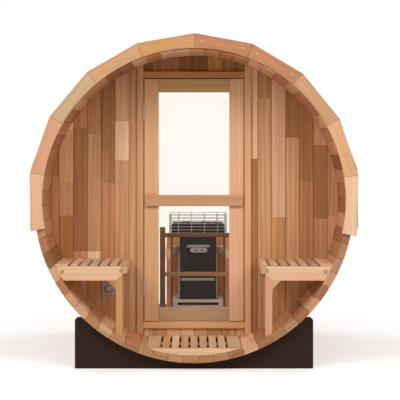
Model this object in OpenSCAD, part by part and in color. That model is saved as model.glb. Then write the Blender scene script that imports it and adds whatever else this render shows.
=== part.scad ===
/* [Barrel] */
// Diameter over the staves
barrel_d = 1862; // [1800:1:2300]
// Thickness of a stave
stave_t = 43; // [35:1:50]
// Length of a stave, from porch end to rear end
stave_len = 1830; // [1700:1:2500]
// Height of the lowest stave above the ground
barrel_lift = 43; // [30:1:60]
// Depth of the porch, from the stave ends to the front wall
porch_d = 450; // [400:1:560]

/* [Walls] */
// Thickness of the front and rear walls
wall_t = 38; // [30:1:45]
// Distance of the rear wall from the rear stave ends
rear_inset = 60; // [40:1:90]
// Width of the rear window
window_w = 620; // [560:1:700]
// Height of the rear window
window_h = 1570; // [1400:1:1590]
// Height of the window's foot above the inside of the lowest stave
window_lift = 88; // [80:1:120]
// Thickness of the glass in door and window
glass_t = 8; // [5:1:10]

/* [Door] */
// Width of the door leaf
door_w = 610; // [540:1:640]
// Height of the door leaf
door_h = 1486; // [1300:1:1500]
// Height of the leaf's foot above the inside of the lowest stave
door_lift = 148; // [140:1:170]
// Thickness of the door leaf
door_t = 38; // [34:1:44]
// Running gap round the door leaf
door_gap = 5; // [5:0.5:7]
// Width of a door stile
stile_w = 88; // [70:1:100]
// Height of a door rail
rail_h = 82; // [70:1:100]
// Width of the casing beside the door
casing_w = 40; // [30:1:50]
// How far the casing stands out from the front wall
casing_proud = 20; // [18:1:24]
// Height of the trim above and below the door
trim_h = 40; // [30:1:44]
// Length of a hinge
hinge_h = 104; // [80:1:120]
// Diameter of a hinge pin
pin_d = 6; // [5:0.5:7]

/* [Roof] */
// Number of flat faces of the roof
roof_faces = 10; // [8:2:12]
// Thickness of the roof boards
roof_t = 18; // [12:1:24]
// Least gap between the barrel and the roof boards
roof_gap = 4.3; // [3:0.1:8]
// Height of the roof's centre above the barrel's centre line
roof_rise = 20; // [0:1:22]
// Thickness of the end boards
fascia_t = 20; // [15:1:25]
// How far the end boards reach inside the staves
fascia_lap = 7; // [0:1:15]

/* [Porch] */
// Height of the bench top above the inside of the lowest stave
bench_h = 530; // [450:1:560]
// Distance between the door casing and a bench
bench_clear = 41; // [35:1:80]
// Thickness of a bench or step slat
slat_t = 15; // [12:1:22]
// Width of a bench slat
slat_w = 41; // [35:1:46]
// Spacing of the bench slats
slat_pitch = 57.6; // [52:0.1:60]
// Height of the step top above the inside of the lowest stave
step_h = 59; // [50:1:80]
// Width of the step
step_w = 548; // [500:1:580]

/* [Cradle] */
// Width of a cradle
cradle_w = 1400; // [1300:1:1500]
// Height of a cradle
cradle_h = 300; // [250:1:320]
// Thickness of a cradle
cradle_t = 40; // [30:1:60]
// Distance of a cradle from the stave ends
cradle_inset = 75; // [50:1:150]

/* [Heater] */
// Width of the heater body
heater_w = 250; // [220:1:280]
// Depth of the heater body
heater_d = 250; // [200:1:260]
// Height of the heater body
heater_h = 420; // [380:1:450]
// Distance between the guard's back board and the rear wall
heater_clear = 54; // [40:1:120]
// Sideways place of the heater
heater_x = 27; // [0:1:60]
// Diameter of the rack wire
wire_d = 4; // [3:0.5:5]

/* [Hidden] */

// The staves stand in a ring round a centre line that runs along Y
stave_count = 64;
stave_a = 360 / stave_count;
stave_phase = 1.4;
shell_parts = 8;
outer_r = barrel_d / 2;
inner_r = outer_r - stave_t;
centre_z = barrel_lift + outer_r;
floor_z = barrel_lift + stave_t;
top_z = centre_z + outer_r;
stave_y0 = -stave_len / 2;
stave_y1 = stave_len / 2;
hoop_w = 25;
hoop_t = 1.2;
hoop_inset = 220;
hoop_places = [stave_y0 + hoop_inset, 0, stave_y1 - hoop_inset];

// Walls
wall_y0 = stave_y0 + porch_d;
wall_y1 = wall_y0 + wall_t;
rear_y1 = stave_y1 - rear_inset;
rear_y0 = rear_y1 - wall_t;
window_z0 = floor_z + window_lift;
window_z1 = window_z0 + window_h;
vent_w = 80;
vent_t = 3;
vent_cap_d = 46;
vent_cap_h = 15;
vent_x = -527;
vent_h = 342;

// Doorway and leaf
leaf_z0 = floor_z + door_lift;
leaf_z1 = leaf_z0 + door_h;
opening_half = door_w / 2 + door_gap;
opening_z0 = leaf_z0 - door_gap;
opening_z1 = leaf_z1 + door_gap;
casing_out = opening_half + casing_w;
casing_back = 8;
casing_y0 = wall_y0 - casing_proud;
casing_y1 = wall_y1 + casing_back;
leaf_set = 6;
leaf_y0 = casing_y0 + leaf_set;
leaf_y1 = leaf_y0 + door_t;
stop_y0 = leaf_y1 + door_gap;
stop_w = 16;
glass_set = 6;
bar_h = 70;
bar_t = 22;
bar_inset = 6;
bar_z = centre_z;

// Hinges: the pin stands in front of the gap between the casing and the leaf
knuckle_d = pin_d + 4;
knuckle_parts = 5;
knuckle_gap = 0.25;
pin_gap = 0.1;
pin_x = -door_w / 2 - door_gap / 2;
pin_y = casing_y0 - knuckle_d / 2 - 1;
plate_t = 1.5;
plate_d = 30;
plate_y0 = pin_y + knuckle_d / 2 + 0.5;
hinge_inset = 150;
hinge_zs = [leaf_z0 + hinge_inset, leaf_z1 - hinge_inset - hinge_h];

// Roof and end boards
face_a = 20;
roof_half_a = roof_faces * face_a / 2;
roof_z = centre_z + roof_rise;
roof_apothem = outer_r + roof_gap + roof_t;
roof_r = roof_apothem / cos(face_a / 2);
fascia_inner_r = inner_r - fascia_lap;
board_gap = 1;

// Porch
bench_inner = casing_out + bench_clear;
bench_top = floor_z + bench_h;
bench_slats = 6;
bench_y0 = stave_y0 + 12;
slat_z0 = bench_top - slat_t;
apron_h = 43;
apron_t = 32;
side_t = 30;
apron_z0 = slat_z0 - apron_h;
beam_h = 40;
beam_t = 38;
beam_z0 = apron_z0 - beam_h;
leg_set = 24;
leg_x = bench_inner + leg_set;
leg_w = 41;
gusset_w = 57;
gusset_h = 42;
gusset_t = 18;
cleat_t = 28;
step_top = floor_z + step_h;
step_y0 = stave_y0 + 2;
step_wide = 77;
step_slat_w = 43;
step_count = 7;
step_space = (step_w - 2 * step_wide - step_count * step_slat_w) / (step_count + 1);
bearer_t = 30;

// Heater, in heights above the inside of the lowest stave
rail_r = 150;
rail_t = 42;
rail_air = 51;
rail_half = heater_w / 2 + rail_air + rail_t;
rail_h0 = 482;
rail_tall = 60;
rail_post = 31;
rail_len = heater_d + 158;
back_w = heater_w + 104;
back_t = 20;
back_top = 598;
heater_y0 = rear_y0 - heater_clear - back_t - rail_len;
base_h0 = 142;
base_tall = 48;
base_w = heater_w + 88;
base_lap = 10;
bearer_w = 40;
body_h0 = base_h0 + base_tall;
stone_w = heater_w + 108;
stone_d = heater_d + 20;
stone_tall = 101;
stone_h0 = body_h0 + heater_h;
rack_side = 17;
rack_w = stone_w + 2 * rack_side;
rack_d = stone_d + 30;
rack_h0 = stone_h0 + 27;
rack_tall = 142;
rack_rings = 7;
rack_bars = [0, 0.163, 0.388, 0.612, 0.837, 1];
lug_w = 20;
fence_w = heater_w + 258;
fence_gap = 104;
fence_rail = 28;
fence_rail_t = 20;
fence_rails = [357, 617];
post_w = 36;
post_t = 26;
post_top = 684;
fence_y0 = heater_y0 - fence_gap - post_t;

function on_ring(r, a, z = centre_z) = [r * cos(a), z + r * sin(a)];
function stave_ring(r) = [for (i = [0 : stave_count - 1]) on_ring(r, stave_phase - 90 + i * stave_a)];

// Extrudes an outline drawn in X and Z along Y
module along_y(y0, y1) {
    translate([0, y1, 0])
        rotate([90, 0, 0])
            linear_extrude(y1 - y0)
                children();
}

module box(x0, x1, y0, y1, z0, z1) {
    translate([x0, y0, z0])
        cube([x1 - x0, y1 - y0, z1 - z0]);
}

// Prism that fills the barrel between two places along Y
module bore(y0, y1) {
    along_y(y0, y1)
        polygon(stave_ring(inner_r));
}

// A box trimmed to the inside of the barrel
module fitted(x0, x1, y0, y1, z0, z1) {
    intersection() {
        bore(y0, y1);
        box(x0, x1, y0 - 1, y1 + 1, z0, z1);
    }
}

// Lowest X of a piece that reaches from near to far on one side of the centre: -1 is left and 1 is right
function low_x(side, near, far) = side < 0 ? -far : near;

module side_box(side, near, far, y0, y1, z0, z1) {
    x0 = low_x(side, near, far);
    box(x0, x0 + far - near, y0, y1, z0, z1);
}

module side_fitted(side, near, far, y0, y1, z0, z1) {
    x0 = low_x(side, near, far);
    fitted(x0, x0 + far - near, y0, y1, z0, z1);
}

// ---- Barrel ----
module shell(k) {
    staves = stave_count / shell_parts;
    a0 = stave_phase - 90 + (k - 1) * staves * stave_a;
    color("#b98258")
        along_y(stave_y0, stave_y1)
            polygon(concat(
                [for (i = [0 : staves]) on_ring(outer_r, a0 + i * stave_a)],
                [for (i = [staves : -1 : 0]) on_ring(inner_r, a0 + i * stave_a)]
            ));
}

module hoops() {
    color("#b9bbbd")
        for (y = hoop_places)
            along_y(y - hoop_w / 2, y + hoop_w / 2)
                difference() {
                    polygon(stave_ring(outer_r + hoop_t));
                    polygon(stave_ring(outer_r));
                }
}

module cradle(y0) {
    cut = 14;
    half = cradle_w / 2;
    color("#382923")
        difference() {
            along_y(y0, y0 + cradle_t)
                polygon([
                    [-half, 0],
                    [half, 0],
                    [half, cradle_h - cut],
                    [half - cut, cradle_h],
                    [-half + cut, cradle_h],
                    [-half, cradle_h - cut]
                ]);
            along_y(y0 - 1, y0 + cradle_t + 1)
                polygon(stave_ring(outer_r));
        }
}

module cradle_front() {
    cradle(stave_y0 + cradle_inset);
}

module cradle_rear() {
    cradle(stave_y1 - cradle_inset - cradle_t);
}

// ---- Front wall ----
// The boards on one side of an opening, out to the staves
module wall_side(side, y0, y1, inner_x) {
    color("#a9693f")
        side_fitted(side, inner_x, outer_r, y0, y1, 0, top_z);
}

module front_wall_left() {
    wall_side(-1, wall_y0, wall_y1, casing_out);
}

module front_wall_right() {
    wall_side(1, wall_y0, wall_y1, casing_out);
}

module front_wall_top() {
    color("#7c4a2b")
        fitted(-opening_half, opening_half, wall_y0, wall_y1, opening_z1 + trim_h, top_z);
}

module front_wall_bottom() {
    color("#a9693f")
        fitted(-opening_half, opening_half, wall_y0, wall_y1, 0, opening_z0 - trim_h);
}

// Upright beside the door, with the stop that the leaf closes against
module casing(side) {
    color("#b5744a") {
        side_fitted(side, opening_half, casing_out, casing_y0, casing_y1, 0, top_z);
        side_box(side, opening_half - stop_w, opening_half, stop_y0, casing_y1, opening_z0, opening_z1);
    }
}

module casing_left() {
    casing(-1);
}

module casing_right() {
    casing(1);
}

// Header above the door, with its stop, and sill below the door
module door_trim() {
    half = opening_half;
    color("#a5653d") {
        box(-half, half, casing_y0, casing_y1, opening_z1, opening_z1 + trim_h);
        box(-half + stop_w, half - stop_w, stop_y0, casing_y1, opening_z1 - stop_w, opening_z1);
        box(-half, half, casing_y0, casing_y1, opening_z0 - trim_h, opening_z0);
    }
}

module vent() {
    z = floor_z + vent_h;
    half = vent_w / 2;
    color("#b9bbbd") {
        box(vent_x - half, vent_x + half, wall_y0 - vent_t, wall_y0, z - half, z + half);
        translate([vent_x, wall_y0, z])
            rotate([90, 0, 0])
                cylinder(d = vent_cap_d, h = vent_cap_h, $fn = 64);
    }
}

// ---- Rear wall ----
module rear_wall_left() {
    wall_side(-1, rear_y0, rear_y1, window_w / 2);
}

module rear_wall_right() {
    wall_side(1, rear_y0, rear_y1, window_w / 2);
}

module rear_rails() {
    color("#a9693f")
        for (z = [[0, window_z0], [window_z1, top_z]])
            fitted(-window_w / 2, window_w / 2, rear_y0, rear_y1, z[0], z[1]);
}

module rear_glass() {
    glass_y0 = (rear_y0 + rear_y1 - glass_t) / 2;
    color("#dfe8e2", 0.4)
        box(-window_w / 2, window_w / 2, glass_y0, glass_y0 + glass_t, window_z0, window_z1);
}

// ---- Roof ----
// Wedge between two joints of the roof, narrowed by half a joint gap on each side
module board_wedge() {
    far = 2 * roof_r;
    half = face_a / 2;
    translate([board_gap / 2 / sin(half), 0])
        polygon([[0, 0], [far * cos(half), far * sin(half)], [far * cos(half), -far * sin(half)]]);
}

// Ring of end boards, straight outside and round inside
module fascia(y0) {
    color("#c99263")
        for (i = [0 : roof_faces - 1]) {
            a = 90 - roof_half_a + (i + 0.5) * face_a;
            difference() {
                along_y(y0, y0 + fascia_t)
                    intersection() {
                        polygon([
                            [0, roof_z],
                            on_ring(roof_r, a - face_a / 2, roof_z),
                            on_ring(roof_r, a + face_a / 2, roof_z)
                        ]);
                        translate([0, roof_z])
                            rotate(a)
                                board_wedge();
                    }
                translate([0, y0 - 1, roof_z])
                    rotate([-90, 0, 0])
                        cylinder(r = fascia_inner_r, h = fascia_t + 2, $fn = 128);
            }
        }
}

module fascia_front() {
    fascia(stave_y0 - fascia_t);
}

module fascia_rear() {
    fascia(stave_y1);
}

// Flat boards between the end boards, one for each face from first to last
module roof(first, last) {
    half_w = (roof_apothem - roof_t) * tan(face_a / 2) - board_gap / 2;
    color("#a87650")
        for (i = [first : last])
            translate([0, 0, roof_z])
                rotate([0, -(90 - roof_half_a + (i + 0.5) * face_a), 0])
                    box(roof_apothem - roof_t, roof_apothem, stave_y0, stave_y1, -half_w, half_w);
}

module roof_right() {
    roof(0, roof_faces / 2 - 1);
}

module roof_left() {
    roof(roof_faces / 2, roof_faces - 1);
}

// ---- Porch benches ----
module bench_slats(side) {
    color("#c99a6e") {
        for (i = [0 : bench_slats - 1]) {
            x = bench_inner + i * slat_pitch;
            side_box(side, x, x + slat_w, bench_y0, wall_y0, slat_z0, bench_top);
        }
        side_fitted(side, bench_inner + bench_slats * slat_pitch, outer_r,
            bench_y0, wall_y0, slat_z0, bench_top);
    }
}

// Apron, side board, wall cleat, beam, leg and gusset
module bench_frame(side) {
    front = bench_y0 + 2;
    leg_far = leg_x + leg_w;
    color("#d9a67c") {
        side_fitted(side, bench_inner, outer_r, front, front + apron_t, apron_z0, slat_z0);
        side_box(side, bench_inner, bench_inner + side_t, front, wall_y0, apron_z0, slat_z0);
        side_fitted(side, bench_inner, outer_r, wall_y0 - cleat_t, wall_y0, apron_z0, slat_z0);
        side_fitted(side, leg_x, outer_r, front, front + beam_t, beam_z0, apron_z0);
        side_fitted(side, leg_x, leg_far, front, front + beam_t, 0, beam_z0);
        along_y(front + 2, front + 2 + gusset_t)
            polygon([
                [side * leg_far, beam_z0],
                [side * (leg_far + gusset_w), beam_z0],
                [side * leg_far, beam_z0 - gusset_h]
            ]);
    }
}

module bench_left_slats() {
    bench_slats(-1);
}

module bench_left_frame() {
    bench_frame(-1);
}

module bench_right_slats() {
    bench_slats(1);
}

module bench_right_frame() {
    bench_frame(1);
}

// ---- Porch step ----
module step_slat(x, w) {
    fitted(x, x + w, step_y0, wall_y0, step_top - slat_t, step_top);
}

module step_slats() {
    narrow_x = -step_w / 2 + step_wide + step_space;
    color("#b98a63") {
        step_slat(-step_w / 2, step_wide);
        for (i = [0 : step_count - 1])
            step_slat(narrow_x + i * (step_slat_w + step_space), step_slat_w);
        step_slat(step_w / 2 - step_wide, step_wide);
    }
}

module step_frame() {
    color("#d9a67c")
        for (y = [step_y0 + 1, (step_y0 + wall_y0 - bearer_t) / 2, wall_y0 - bearer_t])
            fitted(-outer_r, outer_r, y, y + bearer_t, 0, step_top - slat_t);
}

// ---- Heater ----
module heater_body() {
    color("#3a3a38")
        box(heater_x - heater_w / 2, heater_x + heater_w / 2, heater_y0, heater_y0 + heater_d,
            floor_z + body_h0, floor_z + body_h0 + heater_h);
}

// Base plate on two bearers that stand on the staves
module heater_base() {
    z = floor_z + base_h0;
    color("#a8a9a6") {
        box(heater_x - base_w / 2, heater_x + base_w / 2,
            heater_y0 - base_lap, heater_y0 + heater_d + base_lap, z, z + base_tall);
        for (y = [heater_y0, heater_y0 + heater_d - bearer_w])
            fitted(heater_x - base_w / 2, heater_x + base_w / 2, y, y + bearer_w, 0, z);
    }
}

module heater_stones() {
    z = floor_z + stone_h0;
    color("#232322")
        box(heater_x - stone_w / 2, heater_x + stone_w / 2,
            heater_y0 - base_lap, heater_y0 - base_lap + stone_d, z, z + stone_tall);
}

// Wire rack round the stones, carried by four lugs
module heater_rack() {
    x0 = heater_x - rack_w / 2;
    x1 = heater_x + rack_w / 2;
    y0 = heater_y0 - base_lap - (rack_d - stone_d) / 2;
    y1 = y0 + rack_d;
    z0 = floor_z + rack_h0;
    ring_step = (rack_tall - wire_d) / (rack_rings - 1);
    color("#8d8f90") {
        for (i = [0 : rack_rings - 1])
            difference() {
                box(x0, x1, y0, y1, z0 + i * ring_step, z0 + i * ring_step + wire_d);
                box(x0 + wire_d, x1 - wire_d, y0 + wire_d, y1 - wire_d, z0 - 1, z0 + rack_tall + 1);
            }
        for (k = rack_bars, y = [y0, y1 - wire_d]) {
            x = x0 + k * (rack_w - wire_d);
            box(x, x + wire_d, y, y + wire_d, z0, z0 + rack_tall);
        }
        for (x = [[x0, x0 + rack_side], [x1 - rack_side, x1]], y = [y0 + rack_d / 4, y0 + rack_d * 3 / 4])
            box(x[0], x[1], y - lug_w / 2, y + lug_w / 2, z0, z0 + wire_d);
    }
}

// ---- Guard round the heater ----
// Two posts and two rails in front of the heater
module guard_fence() {
    x0 = heater_x - fence_w / 2;
    x1 = heater_x + fence_w / 2;
    rail_y = fence_y0 + (post_t - fence_rail_t) / 2;
    color("#6b4029") {
        for (x = [x0, x1 - post_w])
            fitted(x, x + post_w, fence_y0, fence_y0 + post_t, 0, floor_z + post_top);
        for (z = [floor_z + fence_rails[0], floor_z + fence_rails[1]])
            box(x0 + post_w, x1 - post_w, rail_y, rail_y + fence_rail_t, z, z + fence_rail);
    }
}

// Plan of the bent rail, open at the front
module rail_plan(half_w, y0, y1, r) {
    translate([-half_w, y0])
        square([2 * half_w, y1 - r - y0]);
    translate([-half_w + r, y1 - r - 1])
        square([2 * (half_w - r), r + 1]);
    for (x = [-half_w + r, half_w - r])
        translate([x, y1 - r])
            circle(r, $fn = 96);
}

// Bent rail round the sides and back of the heater, with its two posts and back board
module guard_rail() {
    rail_y1 = heater_y0 + rail_len;
    post_y = heater_y0 + 4;
    post_x = rail_half - rail_t / 2;
    half = rail_post / 2;
    post_z1 = floor_z + fence_rails[1] + fence_rail / 3;
    color("#8a5a3a") {
        translate([heater_x, 0, floor_z + rail_h0])
            linear_extrude(rail_tall)
                difference() {
                    rail_plan(rail_half, heater_y0, rail_y1, rail_r);
                    rail_plan(rail_half - rail_t, heater_y0 - 1, rail_y1 - rail_t, rail_r - rail_t);
                }
        for (x = [heater_x - post_x, heater_x + post_x])
            fitted(x - half, x + half, post_y, post_y + rail_post, 0, post_z1);
        fitted(heater_x - back_w / 2, heater_x + back_w / 2,
            rail_y1, rail_y1 + back_t, 0, floor_z + back_top);
    }
}

// ---- Door ----
module door_stiles() {
    color("#c08457")
        for (x = [-door_w / 2, door_w / 2 - stile_w])
            box(x, x + stile_w, leaf_y0, leaf_y1, leaf_z0, leaf_z1);
}

// The rails stand behind the glass
module door_rails() {
    half = door_w / 2 - stile_w;
    color("#9a7448")
        for (z = [leaf_z0, leaf_z1 - rail_h])
            box(-half, half, leaf_y0 + glass_set + glass_t, leaf_y1, z, z + rail_h);
}

module door_glass() {
    half = door_w / 2 - stile_w;
    color("#dfe8e2", 0.4)
        box(-half, half, leaf_y0 + glass_set, leaf_y0 + glass_set + glass_t, leaf_z0, leaf_z1);
}

module door_bar() {
    half = door_w / 2 - bar_inset;
    color("#a5653d")
        box(-half, half, leaf_y0 - bar_t, leaf_y0, bar_z - bar_h / 2, bar_z + bar_h / 2);
}

// Knuckles and plate of one half of a hinge, with the plate's face towards the wood at face_x
module hinge_half(z0, parts, face_x, dir) {
    part_h = hinge_h / knuckle_parts;
    x0 = dir > 0 ? face_x : face_x - plate_t;
    for (i = parts) {
        z = z0 + i * part_h + knuckle_gap;
        translate([pin_x, pin_y, z])
            cylinder(d = knuckle_d, h = part_h - 2 * knuckle_gap, $fn = 48);
        box(x0, x0 + plate_t, pin_y, plate_y0, z, z + part_h - 2 * knuckle_gap);
    }
    box(x0, x0 + plate_t, plate_y0, plate_y0 + plate_d, z0, z0 + hinge_h);
}

module door_hinges() {
    color("#a8a9a6")
        for (z = hinge_zs)
            difference() {
                hinge_half(z, [1, 3], -door_w / 2, -1);
                translate([pin_x, pin_y, z - 1])
                    cylinder(d = pin_d + 2 * pin_gap, h = hinge_h + 2, $fn = 48);
            }
}

module frame_hinges() {
    color("#a8a9a6")
        for (z = hinge_zs) {
            hinge_half(z, [0, 2, 4], -opening_half, 1);
            translate([pin_x, pin_y, z + knuckle_gap])
                cylinder(d = pin_d, h = hinge_h - 2 * knuckle_gap, $fn = 48);
        }
}

shell(1);  // shell_1
shell(2);  // shell_2
shell(3);  // shell_3
shell(4);  // shell_4
shell(5);  // shell_5
shell(6);  // shell_6
shell(7);  // shell_7
shell(8);  // shell_8
hoops();
cradle_front();
cradle_rear();
front_wall_left();
front_wall_right();
front_wall_top();
front_wall_bottom();
casing_left();
casing_right();
door_trim();
vent();
rear_wall_left();
rear_wall_right();
rear_rails();
rear_glass();
fascia_front();
fascia_rear();
roof_left();
roof_right();
bench_left_slats();
bench_left_frame();
bench_right_slats();
bench_right_frame();
step_slats();
step_frame();
heater_body();
heater_base();
heater_stones();
heater_rack();
guard_fence();
guard_rail();
door_stiles();
door_rails();
door_glass();
door_bar();
door_hinges();
frame_hinges();
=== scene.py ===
# %% [markdown]
# # A cedar barrel sauna
# The sauna is a barrel of cedar staves that lies on two dark cradles. A ring of end boards closes the roof
# over the porch, and a glazed door leads through a wall of upright boards. The CAD model already holds every
# size. Here each piece gets the shape of its edges and joints, and a finish.
#
# The first cell loads the CAD model as a fixed frame, and keeps its box.

import math
import random

import bmesh
import bpy
from mathutils import Matrix, Vector


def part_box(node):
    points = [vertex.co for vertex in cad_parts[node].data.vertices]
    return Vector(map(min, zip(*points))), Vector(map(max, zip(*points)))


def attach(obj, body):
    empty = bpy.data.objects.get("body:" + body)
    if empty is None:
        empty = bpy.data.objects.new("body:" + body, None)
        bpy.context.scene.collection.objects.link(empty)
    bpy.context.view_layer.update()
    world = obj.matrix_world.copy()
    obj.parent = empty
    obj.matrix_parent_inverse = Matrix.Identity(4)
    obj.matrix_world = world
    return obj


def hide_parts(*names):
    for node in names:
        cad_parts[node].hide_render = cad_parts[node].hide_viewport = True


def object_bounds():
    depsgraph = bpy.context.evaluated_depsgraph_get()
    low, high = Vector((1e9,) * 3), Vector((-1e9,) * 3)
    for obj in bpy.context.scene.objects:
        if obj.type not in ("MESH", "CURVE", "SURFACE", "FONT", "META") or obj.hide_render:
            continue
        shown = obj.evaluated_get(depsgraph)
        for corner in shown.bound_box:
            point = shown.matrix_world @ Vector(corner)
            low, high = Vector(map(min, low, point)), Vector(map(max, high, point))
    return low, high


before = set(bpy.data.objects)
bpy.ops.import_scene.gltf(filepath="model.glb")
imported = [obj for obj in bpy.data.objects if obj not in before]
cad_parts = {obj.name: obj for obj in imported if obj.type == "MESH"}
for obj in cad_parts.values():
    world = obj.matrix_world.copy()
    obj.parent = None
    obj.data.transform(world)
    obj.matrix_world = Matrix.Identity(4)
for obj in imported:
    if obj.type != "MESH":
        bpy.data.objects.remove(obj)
cad_box = [list(corner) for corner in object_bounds()]
scene = bpy.context.scene
print("CAD pieces:", len(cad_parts))

# %% [markdown]
# ## Sizes of the barrel
# A barrel is a many-sided ring. Its centre and radius come from the box of the eight shell segments. No
# corner of the ring lies exactly on an axis, so the half height is a little less than the radius, and the
# cosine of the ring's first angle makes up for it.

# %% Measure the barrel
STAVES = 64
STAVE_STEP = math.tau / STAVES
STAVE_PHASE = math.radians(1.4)
STAVE_T = 0.043

SHELLS = [f"shell_{k}" for k in range(1, 9)]
shell_boxes = [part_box(name) for name in SHELLS]
barrel_low = Vector([min(low[i] for low, high in shell_boxes) for i in range(3)])
barrel_high = Vector([max(high[i] for low, high in shell_boxes) for i in range(3)])
CENTRE_Z = (barrel_low.z + barrel_high.z) / 2
OUTER_R = (barrel_high.z - barrel_low.z) / 2 / math.cos(STAVE_PHASE)
INNER_R = OUTER_R - STAVE_T
FLOOR_Z = CENTRE_Z - INNER_R
print(f"barrel: centre {CENTRE_Z:.3f}, outer radius {OUTER_R:.3f}, inner radius {INNER_R:.3f}")

# %% [markdown]
# ## Trimming boards to the barrel
# Walls, benches and the step end against the inner faces of the staves. A board starts as a plain outline
# seen from the front. Each inner face of the ring is a straight line, and the part of the outline on the
# wrong side of that line is cut off. After 64 cuts the outline fits the barrel like a scribed board.

# %% Outlines in X and Z
SCRIBE_GAP = 0.0004
SHORTEST_EDGE = 0.0003
TOP, GROUND = 2.0, 0.0


def rectangle(x0, x1, z0, z1):
    """Corners of an upright rectangle, with its sides given in any order"""
    x0, x1 = sorted((x0, x1))
    return [(x0, z0), (x1, z0), (x1, z1), (x0, z1)]


def on_ring(radius, angle, centre_z):
    """Point at an angle from +X, on a circle seen from the front"""
    return (radius * math.cos(angle), centre_z + radius * math.sin(angle))


def cut_off(outline, corner, along):
    """Keeps what lies on the left of a line"""
    kept = []
    for a, b in zip(outline, outline[1:] + outline[:1]):
        side_a = along[0] * (a[1] - corner[1]) - along[1] * (a[0] - corner[0])
        side_b = along[0] * (b[1] - corner[1]) - along[1] * (b[0] - corner[0])
        if side_a >= 0:
            kept.append(a)
        if (side_a >= 0) != (side_b >= 0):
            share = side_a / (side_a - side_b)
            kept.append((a[0] + (b[0] - a[0]) * share, a[1] + (b[1] - a[1]) * share))
    return kept


def tidied(outline):
    """Drops corners that almost coincide"""
    kept = []
    for p in outline:
        if not kept or math.dist(p, kept[-1]) > SHORTEST_EDGE:
            kept.append(p)
    if len(kept) > 1 and math.dist(kept[0], kept[-1]) <= SHORTEST_EDGE:
        kept.pop()
    return kept


def scribed(outline):
    """Trims an outline to the inner faces of the staves"""
    corners = [on_ring(INNER_R - SCRIBE_GAP, STAVE_PHASE + k * STAVE_STEP, CENTRE_Z)
               for k in range(STAVES + 1)]
    for start, end in zip(corners, corners[1:]):
        outline = cut_off(outline, start, (end[0] - start[0], end[1] - start[1]))
    return tidied(outline)


print("corners of a scribed half disc:", len(scribed(rectangle(0, 1, GROUND, TOP))))

# %% [markdown]
# ## The shades of cedar
# Western red cedar is never one colour. Boards from one tree run from pale straw to chocolate, and sauna
# makers mix them freely. Each board here takes one shade from a short palette, and then a little chance.
# The last few are the dark ones: what is seen through glass or lies in shade, and what is stained.

# %% Palette
def colour(red, green, blue):
    """A colour given as on a paint chart, 0 to 255, in the linear values that Blender works in"""
    return tuple(c / 12.92 if c <= 0.04045 else ((c + 0.055) / 1.055) ** 2.4
                 for c in (red / 255, green / 255, blue / 255)) + (1.0,)


CEDAR = {name: colour(*parts) for name, parts in {
    "pale": (245, 214, 178), "straw": (238, 198, 162), "peach": (230, 182, 146), "honey": (222, 172, 126),
    "rose": (214, 160, 126), "tan": (204, 156, 116), "amber": (202, 150, 100), "gold": (194, 138, 82),
    "russet": (188, 132, 94), "chestnut": (174, 122, 80), "umber": (162, 114, 78), "cocoa": (142, 95, 58),
    "driftwood": (214, 182, 146), "weathered": (200, 168, 132), "olive": (188, 146, 93),
    "toffee": (152, 121, 92), "walnut": (104, 72, 40), "painted_shade": (52, 34, 22), "stain": (50, 33, 26),
}.items()}


def shade(dice, names, spread=0.05):
    """One of the named shades, a little lighter or darker"""
    base = CEDAR[dice.choice(names)]
    factor = 1 + dice.uniform(-spread, spread)
    return (base[0] * factor, base[1] * factor, base[2] * factor, 1.0)


print("cedar shades:", ", ".join(CEDAR))

# %% [markdown]
# ## How wood gets its grain
# A log is a stack of rings round its pith, and a board is a slice of that stack. So the grain is worked out
# in the log's own space: one axis runs along the grain, and the distance from the pith gives the ring. The
# same rule then draws straight lines on a quarter-sawn face, arches on a flat-sawn face, and arcs on the end
# of the board. A node group holds the rule once, for every wood in the model.
#
# The helpers below add one node, or one sum, in a line.

# %% Node helpers
def socket_named(sockets, key):
    """The socket with that index, or the enabled one with that name"""
    if isinstance(key, int):
        return sockets[key]
    return next(s for s in sockets if s.name == key and s.enabled)


def fill(tree, node, inputs):
    """Links or sets a node's inputs"""
    for key, value in inputs.items():
        target = socket_named(node.inputs, key)
        if isinstance(value, bpy.types.NodeSocket):
            tree.links.new(value, target)
        else:
            target.default_value = value


def add_node(tree, kind, inputs=None, **settings):
    """Adds a node, sets it up, and fills its inputs"""
    made = tree.nodes.new(kind)
    for key, value in settings.items():
        setattr(made, key, value)
    fill(tree, made, inputs or {})
    return made


def maths(tree, operation, *values):
    """The result of one sum"""
    return add_node(tree, "ShaderNodeMath", dict(enumerate(values)), operation=operation).outputs[0]


def vectors(tree, operation, *values):
    """The result of one sum on vectors"""
    made = add_node(tree, "ShaderNodeVectorMath", dict(enumerate(values)), operation=operation)
    return made.outputs["Value" if operation == "LENGTH" else "Vector"]


def scaled(tree, vector, factor):
    """A vector or colour times a number"""
    return add_node(tree, "ShaderNodeVectorMath", {0: vector, "Scale": factor}, operation="SCALE").outputs[0]


def blended(tree, share, first, second):
    """Two colours mixed by a share"""
    made = add_node(tree, "ShaderNodeMix", {"Factor": share, "A": first, "B": second}, data_type="RGBA")
    return socket_named(made.outputs, "Result")


def ramp(tree, value, stops, interpolation="LINEAR"):
    """A colour ramp through (place, colour) stops"""
    made = add_node(tree, "ShaderNodeValToRGB", {"Fac": value})
    made.color_ramp.interpolation = interpolation
    elements = made.color_ramp.elements
    while len(elements) < len(stops):
        elements.new(0.5)
    for element, (place, tint) in zip(elements, stops):
        element.position = place
        element.color = tint
    return made.outputs["Color"]


def noise(tree, vector, scale=1.0, detail=2.0, roughness=0.5):
    """Soft noise from 0 to 1"""
    values = {"Vector": vector, "Scale": scale, "Detail": detail, "Roughness": roughness}
    return add_node(tree, "ShaderNodeTexNoise", values).outputs["Fac"]


def bumped(tree, height, strength, depth):
    """The normal of a surface that follows a height"""
    values = {"Strength": strength, "Distance": depth, "Height": height}
    return add_node(tree, "ShaderNodeBump", values).outputs["Normal"]


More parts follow.
